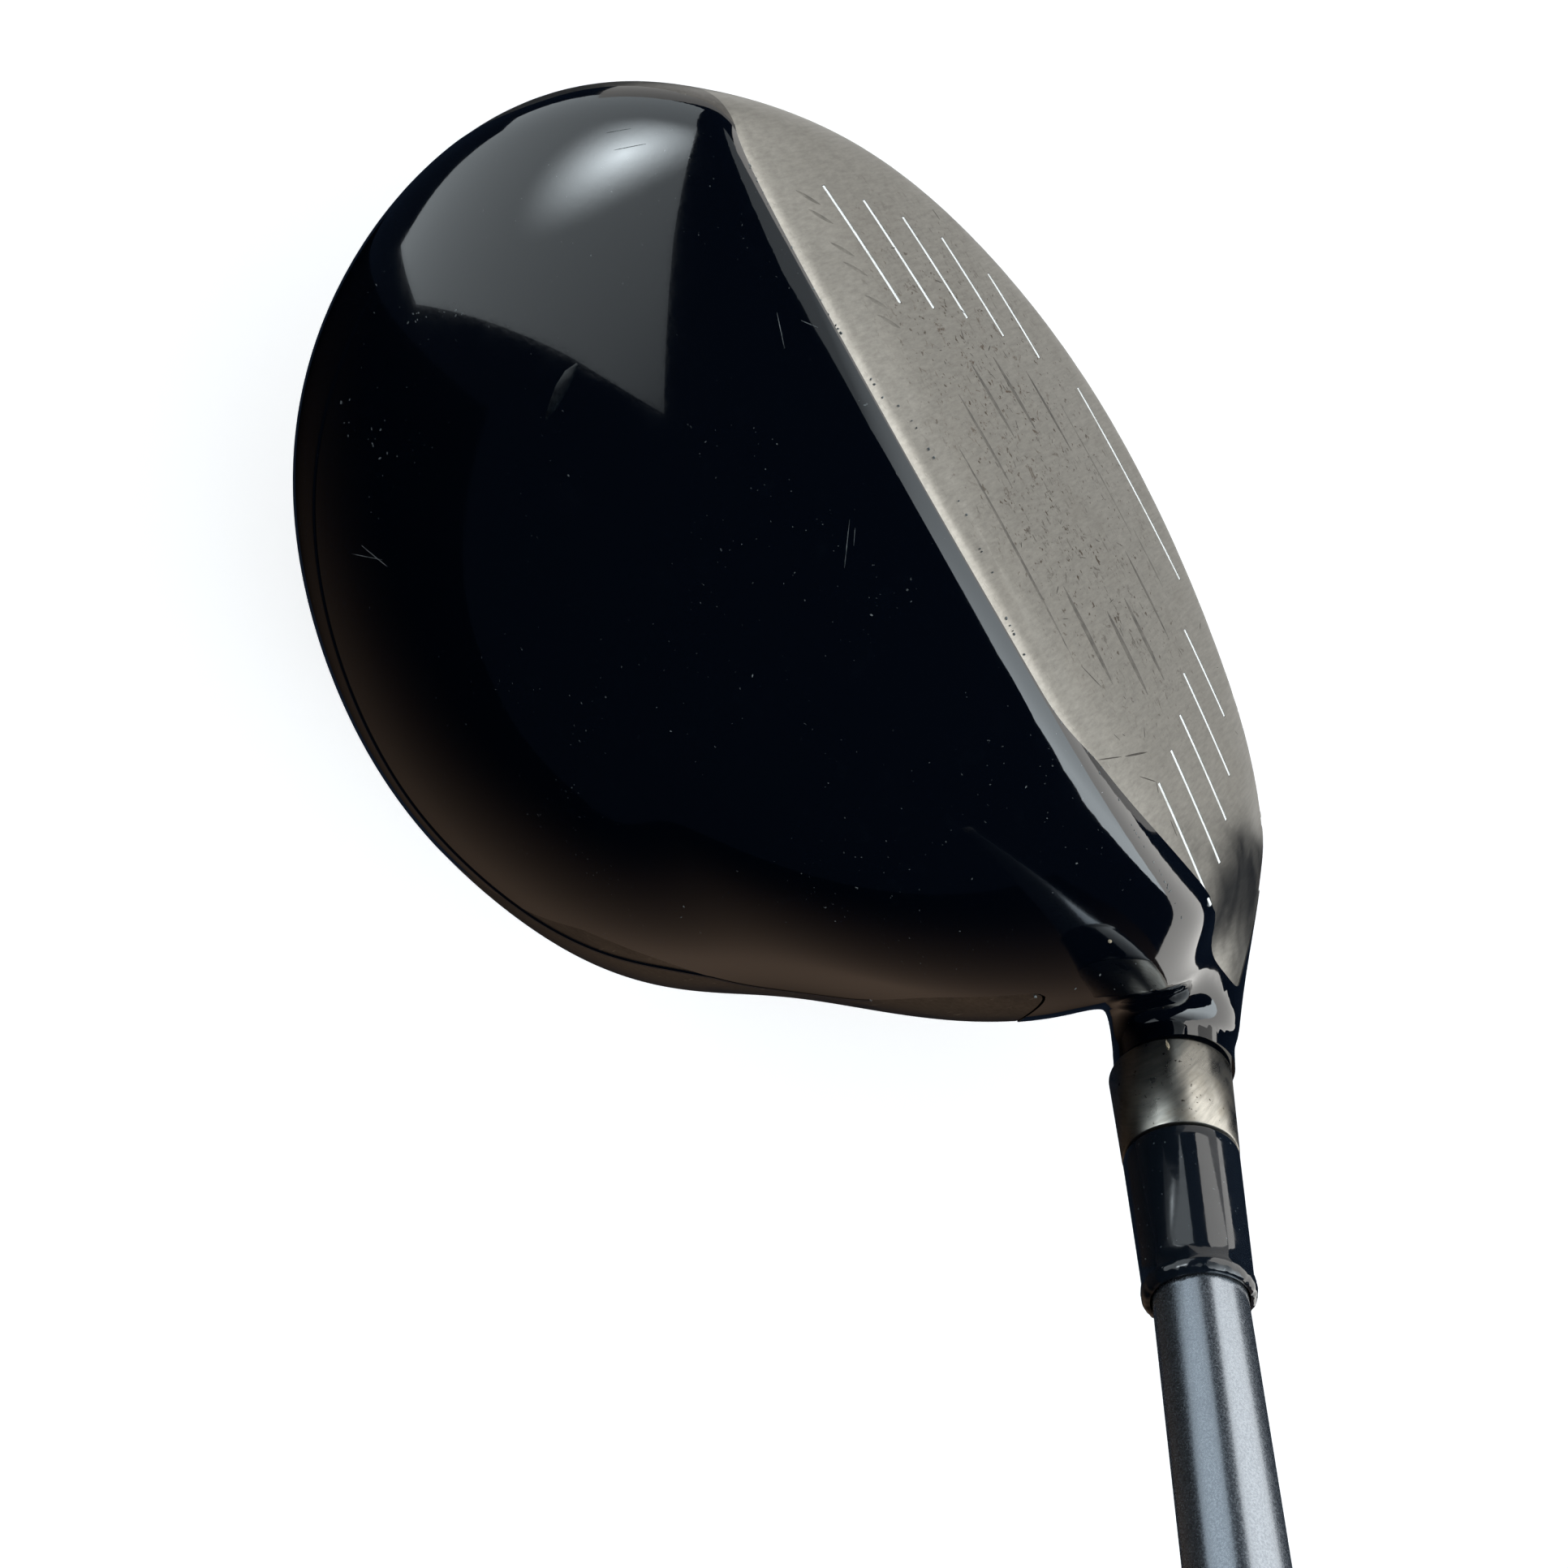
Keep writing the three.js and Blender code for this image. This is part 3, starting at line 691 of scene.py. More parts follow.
def patchy(name, color, roughness, metallic, grain, dark, light, low=None, high=0.7, bump=None):
    """A material of two tones in soft patches. grain is (scale, detail, roughness) of the patches."""
    made = Shader(name, color, roughness, metallic)
    scale, detail, rough = grain
    patch = made.noise(scale, detail, rough=rough)
    share = patch if low is None else made.range(patch, low, high)
    made.color(made.mix(share, dark, light))
    if bump:
        made.bump(patch, *bump)
    return made, patch


def crown_paint():
    """Gloss navy-black paint with dust specks and scuffed patches."""
    made = Shader("crown_paint", (0.0008, 0.0018, 0.0042), 0.07, Coat_Weight=1.0, Coat_Roughness=0.02)
    dust = made.range(made.noise(2600, 1.0), 0.76, 0.8)
    zone = made.range(made.noise(60, 3.0), 0.45, 0.62)
    haze = made.range(made.noise(300, 6.0, rough=0.7), 0.55, 0.8, 0.0, 0.35)
    marks = made.math("MULTIPLY", dust, zone)
    cloud = made.math("MULTIPLY", haze, zone)
    tone = made.mix(cloud, (0.0008, 0.0018, 0.0042), (0.006, 0.009, 0.013))
    made.color(made.mix(marks, tone, (0.16, 0.17, 0.17)))
    made.roughness(made.range(made.noise(90, 5.0, rough=0.65), 0.4, 0.75, 0.05, 0.12))
    made.bump(made.noise(900, 2.0), 0.02, 0.0002)
    return made.material


def face_titanium():
    """Satin titanium, brushed up and down, with ball scuffs, pits and rusty specks in the hitting area."""
    made = Shader("face_titanium", (0.36, 0.35, 0.32), 0.36, 1.0, Anisotropic=0.35)
    grain = made.noise(1.0, 3.0, made.stretched((2600, 2600, 160), (LOFT, 0, 0)), 0.7)
    cloud = made.noise(110, 6.0, rough=0.68, twist=0.4)
    pits = made.range(made.noise(1500, 2.0, rough=0.6), 0.64, 0.7)
    flecks = made.range(made.noise(620, 7.0, rough=0.75, twist=0.8), 0.58, 0.64)
    scrape = made.noise(1.0, 5.0, made.stretched((700, 900, 2600), (0, math.radians(25), 0)), 0.66)
    scuff = made.range(scrape, 0.6, 0.66)
    struck = made.range(made.patch((0.001, -0.037, 0.033), (0.04, 0.03, 0.024)), 0.05, 0.5)
    rusty = made.range(made.patch((0.011, -0.037, 0.036), (0.016, 0.02, 0.016)), 0.0, 0.6)
    worn = made.math("MULTIPLY", made.range(made.noise(95, 4.0), 0.36, 0.56), struck)
    tone = made.mix(made.range(grain, 0.3, 0.7), (0.32, 0.312, 0.29), (0.43, 0.42, 0.39))
    tone = made.mix(made.range(cloud, 0.5, 0.75, 0.0, 0.3), tone, (0.27, 0.25, 0.22))
    tone = made.mix(made.math("MULTIPLY", pits, struck), tone, (0.1, 0.078, 0.058))
    dark_flecks = made.math("MULTIPLY", flecks, made.math("MULTIPLY", worn, 0.75))
    tone = made.mix(dark_flecks, tone, (0.13, 0.115, 0.1))
    rust_flecks = made.math("MULTIPLY", flecks, made.math("MULTIPLY", rusty, 0.8))
    tone = made.mix(rust_flecks, tone, (0.12, 0.075, 0.045))
    made.color(made.mix(made.math("MULTIPLY", scuff, worn), tone, (0.14, 0.13, 0.115)))
    made.roughness(made.range(cloud, 0.35, 0.7, 0.3, 0.44))
    made.bump(made.math("ADD", grain, made.math("MULTIPLY", pits, -1.5)), 0.16, 0.00004)
    return made.material


def skirt_satin():
    """Dark satin metal of the skirt and sole, with fine brushing and ground scuffs."""
    made = Shader("sole_satin", (0.16, 0.155, 0.15), 0.34, 1.0)
    grain = made.noise(1.0, 3.0, made.stretched((160, 2400, 2400)), 0.65)
    cloud = made.noise(140, 5.0, rough=0.65)
    scuff = made.range(made.noise(1.0, 3.0, made.stretched((2200, 120, 700)), 0.6), 0.66, 0.72)
    tone = made.mix(made.range(grain, 0.3, 0.7), (0.13, 0.125, 0.12), (0.2, 0.195, 0.185))
    tone = made.mix(made.range(cloud, 0.45, 0.75, 0.0, 0.5), tone, (0.09, 0.08, 0.07))
    made.color(made.mix(scuff, tone, (0.4, 0.39, 0.36)))
    made.roughness(made.range(cloud, 0.3, 0.75, 0.28, 0.44))
    made.bump(grain, 0.12, 0.00003)
    return made.material


def collar_metal():
    """The turned collar: warm brushed steel with faint spots."""
    made = Shader("hosel_metal", (0.46, 0.44, 0.4), 0.3, 1.0)
    turn = (0, LIE - math.pi / 2, 0)
    grain = made.noise(1.0, 3.0, made.stretched((2600, 300, 300), turn), 0.7)
    spots = made.range(made.noise(1900, 2.0), 0.68, 0.73)
    cloud = made.noise(420, 4.0)
    tone = made.mix(made.range(grain, 0.3, 0.7), (0.36, 0.35, 0.32), (0.56, 0.54, 0.49))
    tone = made.mix(made.range(cloud, 0.5, 0.7, 0.0, 0.45), tone, (0.3, 0.26, 0.2))
    made.color(made.mix(spots, tone, (0.08, 0.07, 0.06)))
    made.roughness(made.range(cloud, 0.3, 0.7, 0.24, 0.38))
    made.bump(grain, 0.15, 0.00003)
    return made.material


def ferrule_plastic():
    """Gloss black plastic, softened by fine turning marks."""
    made = Shader("ferrule_plastic", (0.006, 0.009, 0.014), 0.1, Coat_Weight=0.7, Coat_Roughness=0.03)
    specks = made.range(made.noise(2300, 1.0), 0.74, 0.79)
    made.color(made.mix(specks, (0.006, 0.009, 0.014), (0.12, 0.14, 0.15)))
    made.roughness(made.range(made.noise(500, 4.0), 0.4, 0.7, 0.07, 0.16))
    made.bump(made.noise(1400, 2.0), 0.03, 0.0002)
    return made.material


def shaft_paint():
    """Gunmetal lacquer with fine metallic flake."""
    made = Shader("shaft_paint", (0.3, 0.33, 0.37), 0.26, 0.9, Coat_Weight=0.5, Coat_Roughness=0.08)
    flake = made.noise(5200, 1.0)
    cloud = made.noise(160, 4.0)
    tone = made.mix(made.range(flake, 0.35, 0.65), (0.25, 0.28, 0.32), (0.36, 0.4, 0.45))
    made.color(made.mix(made.range(cloud, 0.55, 0.8, 0.0, 0.4), tone, (0.2, 0.22, 0.26)))
    made.roughness(made.range(flake, 0.3, 0.7, 0.2, 0.3))
    made.bump(flake, 0.05, 0.00002)
    return made.material


def grip_rubber():
    made = Shader("grip_rubber", (0.012, 0.012, 0.013), 0.72, Sheen_Weight=0.15, Sheen_Roughness=0.5)
    fine = made.noise(1800, 3.0)
    dirt = made.noise(45, 5.0, rough=0.65)
    made.color(made.mix(made.range(dirt, 0.45, 0.75), (0.011, 0.011, 0.012), (0.032, 0.03, 0.028)))
    made.roughness(made.range(dirt, 0.35, 0.7, 0.62, 0.8))
    made.bump(fine, 0.35, 0.00008)
    return made.material


def groove_paint():
    """White fill, dirty and worn in places."""
    made = Shader("score_paint", (0.9, 0.9, 0.88), 0.5)
    dirt = made.range(made.noise(420, 4.0, rough=0.7), 0.5, 0.75, 0.0, 0.8)
    made.color(made.mix(dirt, (0.92, 0.92, 0.9), (0.55, 0.53, 0.47)))
    made.bump(made.noise(2400, 2.0), 0.2, 0.00003)
    return made.material


def etched_grey():
    tones = ((0.13, 0.126, 0.118), (0.26, 0.25, 0.23))
    return patchy("etched_grey", (0.16, 0.155, 0.145), 0.45, 1.0, (900, 4.0, 0.7), *tones, 0.35, 0.7,
                  (0.2, 0.00003))[0].material


def faint_etch():
    tones = ((0.19, 0.185, 0.17), (0.32, 0.31, 0.285))
    return patchy("faint_etch", (0.22, 0.215, 0.2), 0.45, 1.0, (700, 4.0, 0.7), *tones, 0.35, 0.7,
                  (0.2, 0.00003))[0].material


def chip_grey():
    """Bare scratches and chips in the paint."""
    tones = ((0.03, 0.036, 0.042), (0.22, 0.235, 0.235))
    return patchy("chip_grey", (0.12, 0.13, 0.135), 0.5, 0.0, (1500, 3.0, 0.55), *tones, 0.3, 0.7,
                  (0.3, 0.00004))[0].material


def dull_paint():
    """Paint that has been rubbed dull."""
    tones = ((0.001, 0.002, 0.0045), (0.006, 0.009, 0.012))
    made, patch = patchy("dull_paint", (0.004, 0.007, 0.011), 0.4, 0.0, (800, 5.0, 0.7), *tones, 0.35, 0.65)
    made.roughness(made.range(patch, 0.3, 0.7, 0.16, 0.3))
    return made.material


def tan_speck():
    tones = ((0.34, 0.27, 0.17), (0.55, 0.46, 0.33))
    return patchy("tan_speck", (0.42, 0.34, 0.22), 0.6, 0.0, (3000, 2.0, 0.55), *tones)[0].material


def dark_nick():
    tones = ((0.03, 0.026, 0.022), (0.1, 0.09, 0.08))
    return patchy("dark_nick", (0.05, 0.045, 0.04), 0.55, 0.6, (2500, 2.0, 0.55), *tones)[0].material


def badge_metal():
    made = Shader("badge_metal", (0.5, 0.5, 0.5), 0.28, 1.0)
    grain = made.noise(1.0, 3.0, made.stretched((2200, 140, 140)), 0.65)
    made.color(made.mix(made.range(grain, 0.3, 0.7), (0.4, 0.4, 0.41), (0.6, 0.6, 0.59)))
    made.roughness(made.range(grain, 0.3, 0.7, 0.22, 0.36))
    made.bump(grain, 0.12, 0.00003)
    return made.material


def inner_material(name, dark, light, roughness, metallic, scale):
    """A simple grained material for the pieces inside the club."""
    return patchy(name, dark, roughness, metallic, (scale, 4.0, 0.65), dark, light, 0.35, 0.65,
                  (0.3, 0.0001))[0].material


# ---------------------------------------------------------------- head pieces

def head_pieces(titanium, paint, satin):
    points, triangles = head_net()

    def at_back(p):
        return -behind_face(p)

    def inside_crease(p):
        return smooth_max(-above_crease(p), -above_seam(p), 0.5) + EDGE_GAP

    def outside_crease(p):
        return above_crease(p) + EDGE_GAP

    def over(p):
        return -above_seam(p) + EDGE_GAP

    def under(p):
        return above_seam(p) + EDGE_GAP

    def off_the_collar(p):
        return np.minimum(along_axis(p) - NECK_TOP, COLLAR_CLIP - from_axis(p))

    whole = clipped(points, triangles, off_the_collar)
    rear = clipped(*whole, at_back)
    upper = clipped(*rear, inside_crease)
    edge = clipped(*clipped(*rear, over), outside_crease)
    lower = clipped(*rear, under)
    front = clipped(*whole, behind_face)
    crown = make_object("crown", *walled(*upper, SHELL_WALL, PAINT_LIFT), paint, "crown_paint")
    band = make_object("crown_skirt", *walled(*edge, SHELL_WALL, PAINT_LIFT / 3), paint, "crown_paint")
    sole = make_object("sole", *walled(*lower, SHELL_WALL), satin, "sole_satin")
    face = make_object("face", *walled(*front, FACE_WALL), titanium, "face_titanium")
    cut(face, groove_cutters())
    cut(sole, [badge_cutter()])
    nodes = ((crown, "crown_shell"), (band, "crown_shell"), (sole, "sole_shell"), (face, "face_plate"))
    for piece, node in nodes:
        shade_like_head(piece)
        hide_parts(node)


def plain_object(name, points, faces):
    mesh = bpy.data.meshes.new(name)
    mesh.from_pydata(to_row(points).tolist(), [], faces)
    mesh.update()
    made = bpy.data.objects.new(name, mesh)
    bpy.context.scene.collection.objects.link(made)
    work = bmesh.new()
    work.from_mesh(mesh)
    bmesh.ops.recalc_face_normals(work, faces=work.faces)
    work.to_mesh(mesh)
    work.free()
    return made


def groove_cutters():
    cutters = []
    for name, x, s, half in score_lines():
        points, faces = face_bar(x, s, half + 0.05, GROOVE_WIDTH, 1.0, -GROOVE_DEPTH)
        cutters.append(plain_object("groove_" + name, points, faces))
    return cutters


def badge_cutter():
    sides = 48
    turns = 2 * math.pi * np.arange(sides) / sides
    ring = np.stack([BADGE_X + BADGE_HALF_X * np.cos(turns), BADGE_Y + BADGE_HALF_Y * np.sin(turns)], -1)
    bottom = np.column_stack([ring, np.full(sides, -3.0)])
    tops = [sole_point(x, y) + BADGE_RECESS for x, y in ring]
    top = np.column_stack([ring, tops])
    faces = [tuple(range(sides)), tuple(range(2 * sides - 1, sides - 1, -1))]
    for k in range(sides):
        m = (k + 1) % sides
        faces.append((k, sides + k, sides + m, m))
    return plain_object("badge_cut", np.concatenate([bottom, top]), faces)


def sole_point(x, y):
    """Height of the sole's underside above x and y."""
    low = -1.0
    high = 30.0
    for _ in range(30):
        middle = (low + high) / 2
        if head_field(np.array([[x, y, middle]]))[0] < 0:
            high = middle
        else:
            low = middle
    return (low + high) / 2


def score_fills(material):
    """The painted fills, sunk a little in their grooves."""
    for name, x, s, half in score_lines():
        points, faces = face_bar(x, s, half, FILL_WIDTH, -FILL_SUNK, -GROOVE_DEPTH + 0.02)
        piece = make_object(name.replace("score_fill", "white_fill"), points, faces, material, "score_paint")
        mend(piece, 30)
        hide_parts(name)


def strip(name, paths, material, slot, lift=0.012):
    """Thin marks that lie on the head: each path is a list of points with half widths."""
    points = []
    faces = []
    for path in paths:
        centres = settled(np.array([p for p, _ in path]))
        normals = head_normals(centres)
        tangents = np.gradient(centres, axis=0)
        across = np.cross(normals, tangents)
        across /= np.maximum(np.linalg.norm(across, axis=-1, keepdims=True), 1e-9)
        start = len(points)
        for centre, normal, side, (_, half) in zip(centres, normals, across, path):
            points.append(centre + side * half - normal * 0.03)
            points.append(centre + normal * lift + side * half * 0.55)
            points.append(centre + normal * lift - side * half * 0.55)
            points.append(centre - side * half - normal * 0.03)
        for i in range(len(path) - 1):
            a = start + 4 * i
            for k in range(4):
                m = (k + 1) % 4
                faces.append((a + k, a + m, a + 4 + m, a + 4 + k))
        last = start + 4 * (len(path) - 1)
        faces.append((start, start + 3, start + 2, start + 1))
        faces.append((last, last + 1, last + 2, last + 3))
    piece = make_object(name, points, faces, material, slot)
    mend(piece, 60)
    return piece


def tapered(ends, half, steps=12, bow=0.0):
    """A straight path between two points whose half width swells in the middle."""
    a, b = (np.array(p, float) for p in ends)
    side = np.array([0.0, 0.0, 1.0])
    path = []
    for i in range(steps + 1):
        t = i / steps
        swell = 0.15 + 0.85 * math.sin(math.pi * t) ** 0.6
        path.append((a + (b - a) * t + bow * math.sin(math.pi * t) * side, half * swell))
    return path


def etchings(dark, faint):
    bold = []
    light = []
    for toe, heel, s, width in ETCHED_LINES:
        path = tapered((face_point(toe, s), face_point(heel, s)), width / 2, 16)
        (light if width < 0.6 else bold).append(path)
    strip("etched_lines", bold, dark, "face_titanium")
    strip("faint_lines", light, faint, "face_titanium")
    marks = []
    for x in (38.9, 32.9, 26.9):
        for offset in (-1.1, 1.1):
            ends = (face_point(x + offset + 1.0, 17.3), face_point(x + offset - 1.0, 14.8))
            marks.append(tapered(ends, 0.42, 6))
    strip("toe_marks", marks, faint, "face_titanium")


def crease_line(material):
    """The soft ridge along the crown's crease, from the toe round the back to the heel."""
    turns = np.radians(np.arange(8.0, 184.0, 1.5))
    reach = 0.9 * outline_radius(turns)
    guess = np.stack([BODY_X + reach * np.cos(turns), BODY_Y + reach * np.sin(turns), 0 * turns], -1)
    guess[:, 2] = height_round(CREASE, guess)
    points = settled(guess, above_crease)
    strip("crease_line", [[(p, 0.3) for p in points]], material, "crown_paint", 0.19)


def edge_chips(draw):
    """Small chips where the crown's paint ends above the face."""
    across = np.array([draw.uniform(-44, 46) for _ in range(60)])
    guess = np.stack([across, np.full(60, 6.5), np.full(60, 53.0)], -1)
    chips = []
    for p in settled(guess, behind_face):
        size = draw.uniform(0.05, 0.14)
        ends = p + np.array([-draw.uniform(0.5, 2.0) * size, draw.gauss(0.1, 0.12), 0.0])
        chips.append(tapered((ends, p + np.array([size, draw.gauss(0.1, 0.12), 0.0])), size, 4))
    return chips


def wear(chip, nick, speck, dull):
    """Chips, scratches, nicks and specks where the used club has them.

    Most places are points picked in the photograph and cast onto the head by a separate program."""
    draw = random.Random(7)
    scratches = [
        ((33.6, 62.5, 57.0), (30.1, 60.0, 58.7), 0.09),
        ((33.6, 64.6, 56.2), (31.0, 60.3, 58.4), 0.06),
        ((10.7, 13.2, 59.2), (7.0, 15.7, 59.9), 0.05),
        ((9.8, 13.1, 59.2), (8.4, 14.0, 59.4), 0.05),
        ((52.8, 18.5, 52.7), (51.6, 15.4, 52.5), 0.05),
        ((54.8, 18.7, 51.8), (53.8, 16.3, 51.7), 0.04),
        ((30.9, 10.6, 56.6), (27.6, 11.4, 57.3), 0.06),
        ((29.1, 9.0, 56.3), (27.7, 8.0, 56.0), 0.08),
    ]
    strip("crown_scratches", [tapered((a, b), w, 6) for a, b, w in scratches], chip, "crown_paint", 0.14)
    chips = []
    clusters = [
        ((50.1, 44.6, 54.8), 7, 1.2), ((48.4, 40.0, 55.9), 5, 1.0), ((41.9, 54.8, 56.4), 7, 1.1),
        ((45.5, 58.2, 54.0), 5, 1.6), ((-9.0, 11.6, 58.1), 2, 0.3), ((-10.8, 27.7, 61.3), 2, 0.5),
        ((16.2, 22.9, 61.0), 3, 6.0), ((-30.0, 20.0, 54.0), 9, 7.0), ((-45.0, 14.0, 46.5), 8, 4.0),
        ((19.9, 7.3, 56.5), 3, 0.5), ((1.8, 15.4, 59.7), 2, 3.0), ((0.0, 45.0, 61.0), 6, 14.0),
    ]
    for centre, count, spread in clusters:
        for _ in range(count):
            shift = np.array([draw.gauss(0, spread), draw.gauss(0, spread), 0.0])
            size = draw.uniform(0.05, 0.16)
            turn = draw.uniform(0, math.pi)
            reach = size * draw.uniform(0.8, 1.6) * np.array([math.cos(turn), math.sin(turn), 0.0])
            centre_point = np.array(centre) + shift
            chips.append(tapered((centre_point - reach, centre_point + reach), size, 4))
    strip("crown_chips", chips + edge_chips(draw), chip, "crown_paint", 0.14)
    specks = []
    for centre, size in (((-38.3, 13.5, 50.4), 0.3), ((-51.1, 14.9, 45.0), 0.2)):
        reach = np.array([size, 0.0, 0.0])
        specks.append(tapered((np.array(centre) - reach, np.array(centre) + reach), size, 6))
    strip("tan_specks", specks, speck, "crown_paint", 0.16)
    smudge = [((36.6, 29.8, 59.5), 0.3), ((36.2, 31.0, 59.6), 1.0), ((35.4, 32.4, 59.8), 1.2)]
    smudge += [((34.4, 33.9, 60.0), 0.9), ((33.6, 35.2, 60.1), 0.2)]
    strip("rubbed_patch", [smudge], dull, "crown_paint", 0.125)
    nicks = [
        ((-21.0, 21.3), (-22.4, 16.8), 0.1), ((-22.6, 16.2), (-23.9, 11.5), 0.16),
        ((-25.2, 15.2), (-26.9, 12.4), 0.1), ((-26.9, 12.4), (-27.9, 13.0), 0.09),
        ((-30.9, 13.0), (-32.7, 13.1), 0.1), ((-12.6, 16.2), (-15.6, 14.4), 0.1),
    ]
    paths = [tapered((face_point(*a), face_point(*b)), w, 6) for a, b, w in nicks]
    for _ in range(70):
        x = draw.gauss(2, 20)
        s = draw.gauss(4, 9)
        size = draw.uniform(0.03, 0.1)
        turn = draw.uniform(0, math.pi)
        reach = draw.uniform(0.1, 0.7)
        if abs(x) > 42 or abs(s) > 17:
            continue
        ends = (
            face_point(x - reach * math.cos(turn), s - reach * math.sin(turn)),
            face_point(x + reach * math.cos(turn), s + reach * math.sin(turn)),
        )
        paths.append(tapered(ends, size, 4))
    strip("face_nicks", paths, nick, "face_titanium")


# ---------------------------------------------------------------- hosel, shaft and grip

def hosel_collar(material):
    round_edge = 0.25
    corners = [
        (HOSEL_TUBE_RADIUS, HOSEL_FOOT),
        (HOSEL_TUBE_RADIUS, COLLAR_START),
        (COLLAR_RADII[0] - round_edge, COLLAR_START),
        (COLLAR_RADII[0] - 0.07, COLLAR_START + 0.07),
        (COLLAR_RADII[0], COLLAR_START + round_edge),
        (COLLAR_RADII[1], COLLAR_END - round_edge),
        (COLLAR_RADII[1] - 0.07, COLLAR_END - 0.07),
        (COLLAR_RADII[1] - round_edge, COLLAR_END),
        (HOSEL_BORE, COLLAR_END),
        (HOSEL_BORE, HOSEL_FOOT),
    ]
    piece = turned("hosel_collar", corners, 128, material, "hosel_metal")
    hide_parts("hosel_tube")


def ferrule_ring(material):
    """The ferrule, with a slightly swollen, worn lip at its shaft end."""
    lip = 1.9
    corners = [
        (FERRULE_RADII[0] - 0.2, FERRULE_START),
        (FERRULE_RADII[0] - 0.05, FERRULE_START + 0.05),
        (FERRULE_RADII[0], FERRULE_START + 0.2),
    ]
    for k in range(1, 12):
        share = k / 12
        radius = FERRULE_RADII[0] + (FERRULE_RADII[1] - FERRULE_RADII[0]) * share
        corners.append((radius, FERRULE_START + (FERRULE_END - lip - FERRULE_START) * share))
    base = FERRULE_END - lip
    corners += [
        (FERRULE_RADII[1] + 0.02, base),
        (FERRULE_RADII[1] + 0.14, base + 0.3),
        (FERRULE_RADII[1] + 0.2, base + 0.8),
        (FERRULE_RADII[1] + 0.14, base + 1.3),
        (FERRULE_RADII[1] - 0.05, base + 1.7),
        (FERRULE_RADII[1] - 0.35, base + 1.87),
        (FERRULE_RADII[1] - 0.6, FERRULE_END - 0.05),
        (HOSEL_BORE, FERRULE_END - 0.1),
        (HOSEL_BORE, FERRULE_START),
    ]
    piece = turned("ferrule_ring", corners, 128, material, "ferrule_plastic", 50)
    roughen_lip(piece)
    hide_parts("ferrule")


def roughen_lip(piece):
    """Frays the ferrule's lip, as trimming and use leave it."""
    draw = random.Random(3)
    phases = [draw.uniform(0, 2 * math.pi) for _ in range(6)]
    for vertex in piece.data.vertices:
        p = np.array(vertex.co) / MM + ORIGIN
        along = float(along_axis(p))
        q = p - AXIS_FOOT - along * AXIS_UP
        radius = np.linalg.norm(q)
        if along < FERRULE_END - 2.1 or radius < HOSEL_BORE + 0.05:
            continue
        turn = math.atan2(q @ AXIS_BACK, q @ AXIS_SIDE)
        wave = sum(math.sin((5 + 7 * k) * turn + phase) / (k + 1.5) for k, phase in enumerate(phases))
        q = q * (1 + 0.006 * wave)
        vertex.co = Vector(to_row(AXIS_FOOT + (along + 0.07 * wave) * AXIS_UP + q))


def shaft_radius(along):
    if along < FERRULE_END - 3:
        return TIP_RADIUS
    return min(PAINTED_TIP_RADIUS + TAPER * max(along - FERRULE_END, 0), BUTT_RADIUS)


def shaft_tube(material):
    stations = [TIP_START, FERRULE_END - 3.1, FERRULE_END - 2.9]
    stations += [FERRULE_END + (GRIP_END - FERRULE_END) * k / 40 for k in range(41)]
    outside = [(shaft_radius(along), along) for along in stations]
    bore = [(shaft_radius(along) - SHAFT_WALL, along) for along in stations]
    piece = turned("shaft_tube", outside + bore[::-1], 96, material, "shaft_paint")
    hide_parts("shaft")


def grip_radius(along):
    share = (along - GRIP_START) / GRIP_LENGTH
    return GRIP_RADII[0] + (GRIP_RADII[1] - GRIP_RADII[0]) * share ** 1.4


def grip_sleeve(material):
    """The rubber grip: a smooth band at each end and crossed moulded grooves between."""
    sides = 144
    rings = 300
    bare = 14.0
    turns = 2 * math.pi * np.arange(sides) / sides
    around = ring_directions(sides)
    rows = []
    for i in range(rings + 1):
        along = GRIP_START + (GRIP_END - GRIP_START) * i / rings
        radius = grip_radius(along) * np.ones(sides)
        room = min(along - GRIP_START - bare, GRIP_END - bare - along)
        pattern = np.clip(room / 4, 0, 1)
        one = np.abs(np.sin(6 * turns + along * 0.42))
        two = np.abs(np.sin(6 * turns - along * 0.42))
        groove = np.maximum(1 - one / 0.28, 0) + np.maximum(1 - two / 0.28, 0)
        radius -= 0.5 * pattern * np.clip(groove, 0, 1)
        radius -= 0.4 * np.exp(-((along - GRIP_START - bare) / 0.7) ** 2)
        radius -= 0.4 * np.exp(-((along - GRIP_END + bare) / 0.7) ** 2)
        if i == 0:
            radius -= 0.5
        rows.append(AXIS_FOOT + along * AXIS_UP + radius[:, None] * around)
    rows.append(AXIS_FOOT + GRIP_END * AXIS_UP + GRIP_BORE * around)
    rows.append(AXIS_FOOT + GRIP_START * AXIS_UP + GRIP_BORE * around)
    faces = ring_quads(len(rows), sides)
    piece = make_object("grip_sleeve", np.concatenate(rows), faces, material, "grip_rubber")
    mend(piece, 50)
    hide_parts("grip")


def grip_end_cap(material):
    radius = grip_radius(GRIP_END)
    start = GRIP_END + 0.3
    corners = [(VENT_RADIUS, start), (radius - 0.3, start), (radius, start + 0.3)]
    for k in range(7):
        turn = math.pi / 2 * k / 6
        corners.append((radius - 1.6 + 1.6 * math.cos(turn), CLUB_LENGTH - 1.6 + 1.6 * math.sin(turn)))
    corners += [(7.0, CLUB_LENGTH), (6.6, CLUB_LENGTH - 0.5), (2.6, CLUB_LENGTH - 0.5)]
    corners += [(2.2, CLUB_LENGTH - 0.1), (VENT_RADIUS, CLUB_LENGTH - 0.1)]
    piece = turned("grip_end_cap", corners, 96, material, "grip_rubber")
    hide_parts("grip_cap")


# ---------------------------------------------------------------- the studio

